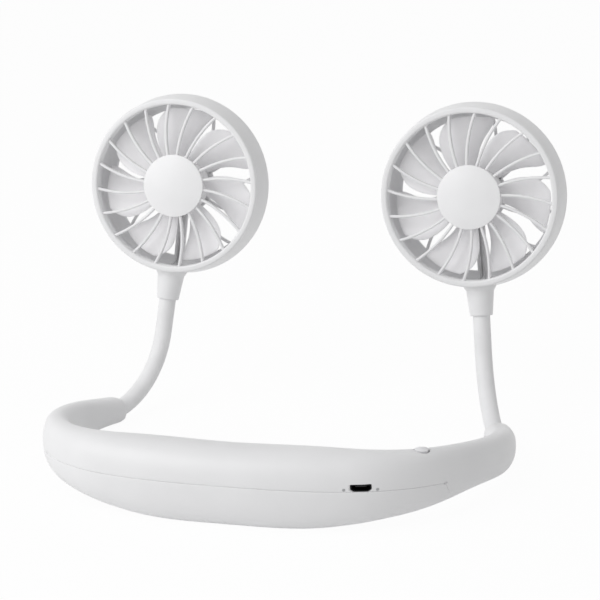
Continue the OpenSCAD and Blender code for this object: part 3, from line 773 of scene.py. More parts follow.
@dataclass(frozen=True)
class BoardLacquer(Finish):
    """Solder lacquer over copper tracks.

    Attributes:
        across, along: distance between the tracks in either direction.
        across_span, along_span: stretch of the bands where a track's edge rises.
        depth: how far a track stands up.
        tone: share of the colour that stays beside the tracks.
        rough: range of its roughness.
        coat, coat_roughness: strength and dullness of its gloss.
    """

    across: float = 1.1 * MM
    along: float = 1.7 * MM
    across_span: tuple[float, float] = (0.6, 0.66)
    along_span: tuple[float, float] = (0.7, 0.76)
    depth: float = 0.03 * MM
    tone: float = 0.75
    rough: tuple[float, float] = (0.24, 0.36)
    coat: float = 0.35
    coat_roughness: float = 0.15

    def dress(self, sheet: Sheet) -> None:
        """Lays tracks in two directions under the lacquer.

        Args:
            sheet: the material's sheet.
        """
        across = sheet.span(sheet.waves(self.across, "X"), 0, 1, *self.across_span)
        along = sheet.span(sheet.waves(self.along, "Y"), 0, 1, *self.along_span)
        sheet.paint(across, self.colour, self.tone)
        sheet.roughen(along, self.rough, 0, 1)
        sheet.relief(across, self.depth)
        sheet.relief(along, self.depth)
        sheet.fix(Coat_Weight=self.coat, Coat_Roughness=self.coat_roughness)


@dataclass(frozen=True)
class MilkyLens(Finish):
    """Milky light pipe.

    Attributes:
        cloud, tone: size of the clouds, and share of the colour that stays in them.
        patch, rough: size of the duller patches and range of the roughness.
        grain, depth: size and depth of the ground end's grain.
        clear: how much light goes straight through.
        index: how strongly it bends light.
    """

    cloud: float = 0.5 * MM
    tone: float = 0.85
    patch: float = 0.2 * MM
    rough: tuple[float, float] = (0.3, 0.5)
    grain: float = 0.15 * MM
    depth: float = 0.01 * MM
    clear: float = 0.35
    index: float = 1.49

    def dress(self, sheet: Sheet) -> None:
        """Lays faint clouds and a ground end.

        Args:
            sheet: the material's sheet.
        """
        sheet.paint(sheet.span(sheet.noise(self.cloud, detail=3), 0, 1), self.colour, self.tone)
        sheet.roughen(sheet.noise(self.patch, detail=2), self.rough)
        sheet.relief(sheet.noise(self.grain, detail=2), self.depth)
        sheet.fix(Transmission_Weight=self.clear, IOR=self.index)


@dataclass(frozen=True)
class Insulation(Finish):
    """Extruded insulation of a thin lead.

    Attributes:
        patch, tone: size of the duller patches, and share of the colour that stays in them.
        gloss, rough: size of the patches in its gloss and range of the roughness.
        grain, depth: size and depth of the drawing pattern.
    """

    patch: float = 2.5 * MM
    tone: float = 0.82
    gloss: float = 0.8 * MM
    rough: tuple[float, float] = (0.34, 0.5)
    grain: float = 0.3 * MM
    depth: float = 0.02 * MM

    def dress(self, sheet: Sheet) -> None:
        """Lays a faint drawing pattern and dull patches.

        Args:
            sheet: the material's sheet.
        """
        sheet.paint(sheet.span(sheet.noise(self.patch, detail=3), 0, 1), self.colour, self.tone)
        sheet.roughen(sheet.noise(self.gloss, detail=3), self.rough)
        sheet.relief(sheet.noise(self.grain, detail=2), self.depth)


SHELL = MouldedPlastic("satin white shell", srgb("efeff0"))
COVER = MouldedPlastic("satin white cover", srgb("efeff0"), roughness=0.44)
GRILLE = MouldedPlastic("white grille plastic", srgb("f1f1f2"), roughness=0.36, cloud=9 * MM)
CAP = MouldedPlastic("white cap plastic", srgb("f8f8f9"), roughness=0.34, cloud=12 * MM)
BUTTON = MouldedPlastic("white button plastic", srgb("ececee"), roughness=0.36, cloud=2 * MM)
BLADE = MouldedPlastic("pale blade plastic", srgb("fdfcfe"), roughness=0.5, cloud=7 * MM, glow=0.15,
                       sheen=1.0)
SLEEVE = SoftSleeve("soft sleeve", srgb("f4f4f5"))
SPINE = Metal("spine metal", srgb("a9adb2"), roughness=0.34)
STEEL = Metal("bright steel", srgb("b4b7bb"), roughness=0.26)
SOCKET = Metal("blackened socket shell", srgb("2a2a2c"), roughness=0.45)
BRASS = Metal("turned brass", srgb("b8923f"), roughness=0.28)
COPPER = Winding("enamelled winding", srgb("b5673a"))
WRAP = ShrinkWrap("cell wrap", srgb("3f7fb4"))
FOAM = Foam("open foam", srgb("3c3c3e"))
BOARD = BoardLacquer("board lacquer", srgb("1f6b45"))
CHIP = MouldedPlastic("chip casing", srgb("2b2b2e"), roughness=0.5, cloud=2 * MM, tone=0.8)
TONGUE = MouldedPlastic("socket insulator", srgb("151517"), roughness=0.5, cloud=2 * MM, tone=0.8)
LENS = MilkyLens("milky light pipe", srgb("d9dbdc"))
RED_LEAD = Insulation("red insulation", srgb("b3262a"))
WHITE_LEAD = Insulation("white insulation", srgb("d9d9da"))


# Neckband


@dataclass(frozen=True)
class BandForm:
    """Course and section of the neckband.

    Attributes:
        half: length from the back's centre to a tip.
        back_radius, back_run: radius and half length of the back.
        corner_radius, corner_run: radius and length of a corner.
        leg_radius: radius of a leg.
        seam_fall: how far the parting line falls to the tips.
        thick, rise, drop: section at the back's centre.
        trim: how much of the belly is cut off flat.
        tip_round, tip_share: length of a tip's rounding and what is left of the section.
        power: exponent of the rounded section.
        rise_shares, drop_shares, thick_shares: section at equal steps to a tip, as shares.
        cover_end, cover_turn, cover_angle: where the parting line dives under a leg.
        walk_step, walk_growth, walk_limit: first step, its growth and the number of steps in a walk
            round the section.
    """

    half: float = 164 * MM
    back_radius: float = 357 * MM
    back_run: float = 45 * MM
    corner_radius: float = 46 * MM
    corner_run: float = 40 * MM
    leg_radius: float = 77 * MM
    seam_fall: float = 13.1 * MM
    thick: float = 23.6 * MM
    rise: float = 12.4 * MM
    drop: float = 18.85 * MM
    trim: float = 0.6 * MM
    tip_round: float = 4 * MM
    tip_share: float = 0.8
    power: float = 2.4
    rise_shares: tuple[float, ...] = (1, 1.035, 0.99, 0.905, 0.705, 0.445)
    drop_shares: tuple[float, ...] = (1, 0.965, 0.665, 0.37, 0.395, 0.287)
    thick_shares: tuple[float, ...] = (1, 0.97, 0.69, 0.51, 0.485, 0.48)
    cover_end: float = 80.5 * MM
    cover_turn: float = 5 * MM
    cover_angle: float = 62 * DEGREE
    walk_step: float = 0.0002
    walk_growth: float = 1.25
    walk_limit: int = 200

    def half_line(self, s: float) -> tuple[float, float, float]:
        """Walks along the middle line of the right half.

        Args:
            s: length from the back's centre, not negative.

        Returns:
            Place across, place to the front and heading.
        """
        x = y = turn = 0.0
        runs = (min(s, self.back_run), max(0.0, min(s - self.back_run, self.corner_run)),
                max(0.0, s - self.back_run - self.corner_run))
        for run, radius in zip(runs, (self.back_radius, self.corner_radius, self.leg_radius)):
            after = turn + run / radius
            x += radius * (math.sin(after) - math.sin(turn))
            y -= radius * (math.cos(after) - math.cos(turn))
            turn = after
        return x, y, turn

    def radius_at(self, s: float) -> float:
        """Gives the middle line's radius.

        Args:
            s: length along the band.

        Returns:
            The radius at s.
        """
        if abs(s) < self.back_run:
            return self.back_radius
        return self.corner_radius if abs(s) < self.back_run + self.corner_run else self.leg_radius

    @cached_property
    def back_y(self) -> float:
        """Place of the back's middle line to the front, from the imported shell."""
        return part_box("upper_housing")[0].y + self.thick / 2

    def line(self, s: float) -> tuple[float, float, float]:
        """Gives the middle line at s, either side of the centre.

        Args:
            s: length along the band, negative to the left.

        Returns:
            Place across, place to the front and heading.
        """
        x, y, turn = self.half_line(abs(s))
        side = -1 if s < 0 else 1
        return side * x, y + self.back_y, side * turn

    def seam(self, s: float) -> float:
        """Returns the height of the parting line at s."""
        fall = self.half_line(abs(s))[1] / self.half_line(self.half)[1]
        return self.drop - self.trim - self.seam_fall * fall

    def scale(self, shares: Sequence[float], s: float) -> float:
        """Reads a smooth curve through shares.

        Args:
            shares: values at equal steps from the back's centre to a tip.
            s: length along the band.

        Returns:
            The value at s, made smaller where the tip is rounded.
        """
        last = len(shares) - 1
        u = min(1.0, abs(s) / self.half) * last
        k = min(int(u), last - 1)
        t = u - k
        a = shares[1] if k == 0 else shares[k - 1]
        b, c, d = shares[k], shares[k + 1], shares[min(last, k + 2)]
        value = (b + t * (c - a) / 2 + t * t * (a - 2.5 * b + 2 * c - d / 2)
                 + t ** 3 * (1.5 * b - 1.5 * c + d / 2 - a / 2))
        q = 1 - min(1.0, (self.half - abs(s)) / self.tip_round)
        return value * (self.tip_share + (1 - self.tip_share) * math.sqrt(max(0.0, 1 - q * q)))

    def rise_at(self, s: float) -> float:
        """Returns the height of the top edge over the parting line."""
        return self.rise * self.scale(self.rise_shares, s)

    def drop_at(self, s: float) -> float:
        """Returns the depth of the belly under the parting line."""
        return self.drop * self.scale(self.drop_shares, s)

    def thick_at(self, s: float) -> float:
        """Returns the thickness of the band."""
        return self.thick * self.scale(self.thick_shares, s)

    def placed(self, s: float, across: float, height: float) -> Vector:
        """Gives a point beside the middle line.

        Args:
            s: length along the band.
            across: distance from the middle line, outwards.
            height: height over the floor.

        Returns:
            The point.
        """
        x, y, turn = self.line(s)
        return Vector((x + across * math.sin(turn), y - across * math.cos(turn), height))

    def point(self, s: float, angle: float, inset: float = 0.0) -> Vector:
        """Gives a point of the section.

        Args:
            s: length along the band.
            angle: 0 is the outer face, a quarter turn the top.
            inset: distance inside the skin.

        Returns:
            The point.
        """
        def powered(value: float) -> float:
            """Bends a circle's value to the rounded section's."""
            return math.copysign(abs(value) ** (2 / self.power), value)

        up = math.sin(angle)
        reach = (self.rise_at(s) if up >= 0 else self.drop_at(s)) - inset
        height = max(inset, self.seam(s) + reach * powered(up))
        return self.placed(s, (self.thick_at(s) / 2 - inset) * powered(math.cos(angle)), height)

    def part_angle(self, s: float) -> float:
        """Returns how far under the outer face the parting line lies."""
        return self.cover_angle * max(0.0, min(1.0, (abs(s) - self.cover_end) / self.cover_turn))

    def walk(self, s: float, start: float, way: int, distance: float) -> float:
        """Finds an angle of the section at some distance along the skin.

        Args:
            s: length along the band.
            start: angle to start from.
            way: 1 to walk up the angles, -1 to walk down.
            distance: distance to walk.

        Returns:
            The angle.
        """
        step, angle, gone = self.walk_step, start, 0.0
        here = self.point(s, angle)
        for _ in range(self.walk_limit):
            there = self.point(s, angle + way * step)
            part = (there - here).length
            if gone + part >= distance:
                return angle + way * step * (distance - gone) / max(part, TINY)
            gone, angle, here = gone + part, angle + way * step, there
            step *= self.walk_growth
        return angle

    def tip(self) -> Vector:
        """Finds the middle of the right tip, where the arm's course starts.

        Returns:
            The point.
        """
        x, y, _ = self.line(self.half)
        lift = (self.rise_at(self.half) - self.drop_at(self.half)) / 2
        return Vector((x, y, self.seam(self.half) + lift))


@dataclass
class Neckband:
    """The two housing shells.

    Attributes:
        form: the band's course and section.
        arm: the course of an arm, for its socket.
        wall: wall of both shells.
        seam_gap: open line between the shells.
        seam_round: rounding of the shells' edges along that line.
        seam_left: share of both that is left under the legs.
        ring_step, ring_sides: distance between two rings of the skin, and lines in a shell's outer arc.
        turn_fineness: how many times closer the rings lie where the parting line dives.
        tip_rings, edge_steps: rings in a tip's rounding and lines in an edge's.
        port_s, port_w, port_h: place and size of the charging opening.
        port_slant_share, port_round, port_top_round, port_edge: its slanted corners, their
            roundings and its chamfer.
        port_depth_share: its tool's depth, in walls.
        lens_r, lens_offset, lens_lift, lens_sides: the holes for the light pipes.
        button_r, button_gap, button_s, button_edge, button_sides: the hole for the button.
        button_depth_share, button_brink_share: its tool's depth, and where its flank is cut short.
        screw_s, screw_shares, post_r, well_r, head_h, post_gap: the screw wells.
        post_root_share: height of a post's root in the belly's wall.
        mark_w, mark_h, mark_depth, mark_sides: the notch where the parting line ends.
        port_overrun, mark_overrun, button_overrun: how far their tools stand out of the skin.
    """

    form: BandForm
    arm: "ArmCourse"
    wall: float = 1.5 * MM
    seam_gap: float = 0.05 * MM
    seam_round: float = 0.24 * MM
    seam_left: float = 0.05
    ring_step: float = 1.6 * MM
    ring_sides: int = 44
    turn_fineness: float = 4
    tip_rings: int = 10
    edge_steps: int = 4
    port_s: float = 51 * MM
    port_w: float = 8.1 * MM
    port_h: float = 2.95 * MM
    port_slant_share: float = 0.16
    port_round: float = 0.3 * MM
    port_top_round: float = 0.45 * MM
    port_edge: float = 0.1 * MM
    port_depth_share: float = 3
    lens_r: float = 0.62 * MM
    lens_offset: float = 5.2 * MM
    lens_lift: float = 0.9 * MM
    lens_sides: int = 24
    button_r: float = 3 * MM
    button_gap: float = 0.05 * MM
    button_s: float = 75 * MM
    button_edge: float = 0.1 * MM
    button_sides: int = 64
    button_depth_share: float = 0.8
    button_brink_share: float = 0.98
    screw_s: tuple[float, ...] = (37.5 * MM, 67 * MM)
    screw_shares: tuple[float, ...] = (0.46, 0.3)
    post_r: float = 3.35 * MM
    well_r: float = 2 * MM
    head_h: float = 1.3 * MM
    post_gap: float = 0.3 * MM
    post_root_share: float = 0.6
    mark_w: float = 1.8 * MM
    mark_h: float = 0.8 * MM
    mark_depth: float = 0.7 * MM
    mark_sides: int = 20
    port_overrun: float = 0.6 * MM
    mark_overrun: float = 0.4 * MM
    button_overrun: float = 1.5 * MM

    def stations(self) -> list[float]:
        """Spaces the skin's rings, closer where the parting line dives and where a tip turns.

        Returns:
            Their places along the band.
        """
        form = self.form
        straight = form.half - form.tip_round
        count = math.ceil(straight / self.ring_step)
        places = {straight * k / count for k in range(count + 1)}
        fine = math.ceil(form.cover_turn / self.ring_step * self.turn_fineness)
        places |= {form.cover_end + form.cover_turn * k / fine for k in range(fine + 1)}
        places |= {form.half - form.tip_round * (1 - math.sin(math.pi / 2 * k / self.tip_rings))
                   for k in range(1, self.tip_rings + 1)}
        ordered = sorted(places)
        return [-s for s in reversed(ordered) if s > 0] + ordered

    def ring(self, s: float, low: float, high: float) -> list[Vector]:
        """Draws one closed section of a shell with rounded edges.

        Args:
            s: length along the band.
            low: angle of the section where the shell starts.
            high: angle where it ends.

        Returns:
            The section's points.
        """
        form, steps, sides = self.form, self.edge_steps, self.ring_sides
        dive = max(0.0, min(1.0, (abs(s) - form.cover_end) / (form.cover_turn / 2)))
        share = 1 + (self.seam_left - 1) * dive
        gap, edge = self.seam_gap / 2 * share, self.seam_round * share
        starts = [(form.walk(s, low, 1, gap + edge * (1 - math.sin(a))), edge * (1 - math.cos(a)))
                  for a in (math.pi / 2 * (steps - k) / steps for k in range(steps + 1))]
        ends = [(form.walk(s, high, -1, gap + edge * (1 - math.sin(a))), edge * (1 - math.cos(a)))
                for a in (math.pi / 2 * k / steps for k in range(steps + 1))]
        first, last = starts[-1][0], ends[0][0]
        arc = [(first + (last - first) * k / sides, 0.0) for k in range(1, sides)]
        inner_low, inner_high = starts[0][0], ends[-1][0]
        half = sides // 2
        inner = [(inner_high + (inner_low - inner_high) * k / half, self.wall) for k in range(half + 1)]
        return [form.point(s, angle, inset) for angle, inset in starts + arc + ends + inner]

    def on_skin(self, s: float, height: float, outline: Outline, insets: Sequence[float],
                growth: float) -> Form:
        """Makes a tool that follows the outer face and opens with a chamfer.

        Args:
            s: length along the band of the outline's middle.
            height: height of the outline's base.
            outline: places along the band and up.
            insets: depths of its rings under the skin.
            growth: width of the chamfer.

        Returns:
            The tool.
        """
        form = self.form
        middle = Vector((sum(u for u, _ in outline), sum(v for _, v in outline))) / len(outline)
        stretch = 1 + form.thick_at(s) / 2 / form.radius_at(s)
        rings = []
        for inset in insets:
            ring = []
            for u, v in outline:
                away = Vector((u, v)) - middle
                grown = middle + away * (1 + max(0.0, growth - inset) / away.length)
                ring.append(form.placed(s + grown.x / stretch, form.thick_at(s) / 2 - inset,
                                        height + grown.y))
            rings.append(ring)
        return loft(rings)

    def port_tool(self) -> Form:
        """Makes the tool for the charging opening, wide at the top with slanted lower corners.

        Returns:
            The tool.
        """
        w, h = self.port_w / 2, self.port_h
        slant, start = self.port_w * self.port_slant_share, 2 * h * self.port_slant_share
        corners = [(slant - w, 0, self.port_round), (w - slant, 0, self.port_round),
                   (w, start, self.port_round), (w, h, self.port_top_round),
                   (-w, h, self.port_top_round), (-w, start, self.port_round)]
        depths = (-self.port_overrun, 0, self.port_edge, self.wall * self.port_depth_share)
        return self.on_skin(self.port_s, self.form.seam(self.port_s), rounded(corners, 4), depths,
                            self.port_edge)

    def mark_tool(self, s: float) -> Form:
        """Makes the tool for the small notch where the parting line ends.

        Args:
            s: length along the band of its middle.

        Returns:
            The tool.
        """
        a, b = self.mark_w / 2, self.mark_h / 2
        outline = [(a * math.cos(t), b * math.sin(t))
                   for t in (2 * math.pi * k / self.mark_sides for k in range(self.mark_sides))]
        return self.on_skin(s, self.form.seam(s), outline, (-self.mark_overrun, self.mark_depth), 0)

    def marked(self, shell: Form) -> Form:
        """Cuts the notches on both sides into a shell.

        Args:
            shell: the shell.

        Returns:
            The shell with its halves of the notches.
        """
        for side in Side:
            shell = shell.shaped(self.mark_tool(side.value * self.form.cover_end), Cut.AWAY)
        return shell

    def button_tool(self) -> Form:
        """Makes the tool for the button's hole, with a chamfer that follows the curved top.

        Returns:
            The tool.
        """
        form, s, edge = self.form, self.button_s, self.button_edge
        rings = []
        for depth in (-self.button_overrun, 0, edge, form.rise_at(s) * self.button_depth_share):
            reach = self.button_r + self.button_gap + max(0.0, edge - depth)
            ring = []
            for k in range(self.button_sides):
                a = 2 * math.pi * k / self.button_sides
                u, v = reach * math.cos(a), reach * math.sin(a)
                share = min(self.button_brink_share, abs(v) / (form.thick_at(s + u) / 2))
                rise = form.rise_at(s + u) * (1 - share ** form.power) ** (1 / form.power)
                top = form.seam(s + u) + rise
                ring.append(form.placed(s + u, v, top - depth))
            rings.append(ring)
        return loft(rings)

    def socket_tools(self) -> Form:
        """Makes the tools for both arm sockets.

        Returns:
            The tools as one form.
        """
        tools = Form()
        for side in Side:
            tool = rod(self.arm.socket_r, -self.arm.socket_depth, self.form.tip_round * 2)
            tools.add(tool.moved(self.arm.placed(side) @ self.arm.station(0)))
        return tools

    def upper(self) -> bpy.types.Object:
        """Builds the upper shell, which also forms the legs.

        Returns:
            The piece.
        """
        form = self.form
        shell = loft([self.ring(s, -form.part_angle(s), math.pi + form.part_angle(s))
                      for s in self.stations()])
        tools = self.socket_tools().add(self.port_tool()).add(self.button_tool())
        for turn in (-1, 1):
            s = self.port_s + turn * self.lens_offset
            x, y, heading = form.line(s)
            place = (Matrix.Translation((x, y, form.seam(s) + self.lens_lift))
                     @ Matrix.Rotation(heading, 4, "Z") @ Matrix.Rotation(math.pi / 2, 4, "X"))
            tools.add(rod(self.lens_r, 0, form.thick_at(s), self.lens_sides).moved(place))
        shell = self.marked(shell.shaped(tools, Cut.AWAY))
        return show("upper_shell", shell, SHELL, "neckband", ["upper_housing"])

    def lower(self) -> bpy.types.Object:
        """Builds the belly shell with its screw wells.

        Returns:
            The piece.
        """
        form = self.form
        cover = loft([self.ring(s, math.pi + form.part_angle(s), 2 * math.pi - form.part_angle(s))
                      for s in self.stations()])
        posts, wells = Form(), self.socket_tools()
        for side in Side:
            for s, share in zip(self.screw_s, self.screw_shares):
                x, y, _ = form.line(side.value * s)
                floor = form.seam(s) - form.drop_at(s)
                sink = floor + (form.rise_at(s) + form.drop_at(s)) * share
                place = Matrix.Translation((x, y, 0))
                posts.add(rod(self.post_r, floor + self.wall * self.post_root_share,
                              sink + self.head_h + self.wall - self.post_gap).moved(place))
                wells.add(rod(self.well_r, -self.wall, sink + self.head_h).moved(place))
        cover = self.marked(cover.shaped(posts, Cut.ON).shaped(wells, Cut.AWAY))
        return show("belly_cover", cover, COVER, "neckband", ["lower_cover"])

    def build(self) -> None:
        """Builds both shells."""
        self.upper()
        self.lower()


@dataclass
class PowerButton:
    """The domed button in the top of the band.

    Attributes:
        radius: radius of the button.
        proud, dome_steps: height of its dome over the housing, and the dome's steps.
        shoulder, edge: height and rounding of its shoulder.
        fine_edge, stem_edge: smaller roundings.
        flange: how far its flange stands out, inside.
        flange_drop: depth of the flange under the housing's top.
        flange_h: thickness of the flange.
        stem_r, stem_h: the stem over the switch.
        turns: its steps round the axis.
    """

    radius: float = 3 * MM
    proud: float = 0.75 * MM
    dome_steps: int = 10
    shoulder: float = 0.05 * MM
    edge: float = 0.6 * MM
    fine_edge: float = 0.1 * MM
    stem_edge: float = 0.15 * MM
    flange: float = 0.7 * MM
    flange_drop: float = 3.2 * MM
    flange_h: float = 0.8 * MM
    stem_r: float = 1 * MM
    stem_h: float = 1 * MM
    turns: int = 64

    def build(self) -> None:
        """Builds the button at its joint's place."""
        ball = (self.radius ** 2 + self.proud ** 2) / (2 * self.proud)
        dome = [(r, self.proud - ball + math.sqrt(ball ** 2 - r ** 2))
                for r in (self.radius * k / self.dome_steps for k in range(self.dome_steps))]
        brim, under = self.radius + self.flange, -self.flange_drop
        base = under - self.flange_h
        skirt = rounded([(self.radius, self.shoulder, self.edge), (self.radius, under, self.fine_edge),
                         (brim, under, self.fine_edge), (brim, base, self.fine_edge),
                         (self.stem_r, base, 0), (self.stem_r, base - self.stem_h, self.stem_edge)])
        bottom = [(0.0, base - self.stem_h)]
        form = lathe(dome + skirt[1:] + bottom, self.turns).moved(joint_place("button_press"))
        show("button_dome", form, BUTTON, "button", ["power_button"])


# Arms


@dataclass(frozen=True)
class ArmCourse:
    """Course of an arm from its leg's tip to its head.

    Attributes:
        band: the band that carries it.
        joints: number of ball joints, and of lengths of the sleeve.
        pitch: distance between two ball joints.
        start_slope, end_slope: slopes at the leg and at the head.
        turn: how far the arm's plane is turned inwards.
        sleeve_r, bore_r: outer and inner radius of the sleeve.
        socket_r, socket_depth: bore that holds the arm at either end.
        collar_reach: distance from a head's centre to its collar's end.
    """

    band: BandForm
    joints: int = 4
    pitch: float = 14.5 * MM
    start_slope: float = 6 * DEGREE
    end_slope: float = 74 * DEGREE
    turn: float = 21 * DEGREE
    sleeve_r: float = 3.6 * MM
    bore_r: float = 3 * MM
    socket_r: float = 3.7 * MM
    socket_depth: float = 6 * MM
    collar_reach: float = 50.5 * MM

    @property
    def bend_run(self) -> float:
        """Length of the bent stretch."""
        return (self.joints - 1) * self.pitch

    @property
    def run(self) -> float:
        """Length of the whole arm."""
        return self.joints * self.pitch

    def slope(self, q: float) -> float:
        """Returns the slope at q."""
        bend = (self.end_slope - self.start_slope) / self.bend_run
        return self.start_slope + max(0.0, min(self.bend_run, q)) * bend

    def point(self, q: float) -> Vector:
        """Gives a point of the course in the arm's own frame.

        Args:
            q: length from the leg's tip.

        Returns:
            The point.
        """
        radius = self.bend_run / (self.end_slope - self.start_slope)
        a = self.slope(q)
        past = q if q < 0 else max(0.0, q - self.bend_run)
        return Vector((0, radius * (math.sin(a) - math.sin(self.start_slope)) + past * math.cos(a),
                       radius * (math.cos(self.start_slope) - math.cos(a)) + past * math.sin(a)))

    def station(self, q: float) -> Matrix:
        """Returns the frame at q, with Z along the course."""
        return Matrix.Translation(self.point(q)) @ Matrix.Rotation(self.slope(q) - math.pi / 2, 4, "X")

    def placed(self, side: Side) -> Matrix:
        """Gives the arm's own frame.

        Args:
            side: which arm.

        Returns:
            The frame on that side.
        """
        tip = self.band.tip()
        return (Matrix.Translation((side.value * tip.x, tip.y, tip.z))
                @ Matrix.Rotation(side.value * self.turn, 4, "Z"))


@dataclass
class Arm:
    """The soft sleeve of one arm, in four lengths, and its spine.

    Attributes:
        side: which arm.
        course: its course.
        tuck: how far the sleeve goes into the leg.
        seat: how far it goes into the collar.
        bend_reach: a length on each side of a sleeve's joint; not used.
        ring_step: distance between two rings.
        turns: points round a ring.
        crease: angle in degrees over which the sleeve's edges stay sharp.
    """

    side: Side
    course: ArmCourse
    tuck: float = 1.8 * MM
    seat: float = 3 * MM
    bend_reach: float = 5.5 * MM
    ring_step: float = 0.75 * MM
    turns: int = 48
    crease: float = 50

    def bodies(self) -> list[str]:
        """Returns the bodies from the band to the head."""
        links = [f"{self.side.prefix}_link_{k}" for k in range(1, self.course.joints)]
        return ["neckband", *links, f"{self.side.prefix}_head"]

    def sleeve(self, k: int) -> None:
        """Builds one length of the sleeve across its joint.

        Args:
            k: which length, from 1 at the leg to the last at the head.
        """
        course, place = self.course, self.course.placed(self.side)
        start = -self.tuck if k == 1 else (k - 1) * course.pitch
        end = course.run + self.seat if k == course.joints else k * course.pitch
        count = math.ceil((end - start) / self.ring_step)
        frames = [place @ course.station(start + (end - start) * i / count) for i in range(count + 1)]
        rings = [[at @ point for point in circle(radius, self.turns)]
                 for radius, stops in ((course.sleeve_r, frames), (course.bore_r, reversed(frames)))
                 for at in stops]
        name = f"{self.side.prefix}_sleeve_{k}"
        piece = show(f"{name}_skin", loft(rings, looped=True), SLEEVE, "", [name],
                     crease=self.crease)
        middle = place @ course.station((k - 0.5) * course.pitch)
        below, above = self.bodies()[k - 1:k + 1]
        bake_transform(piece)

    def build(self) -> None:
        """Builds the sleeve and dresses the spine."""
        for k in range(1, self.course.joints + 1):
            self.sleeve(k)
        links = [f"arm_link_{k}" for k in range(1, self.course.joints)]
        dress(SPINE, *(f"{self.side.prefix}_{name}" for name in ("arm_anchor", *links, "head_anchor")))


# Fan heads


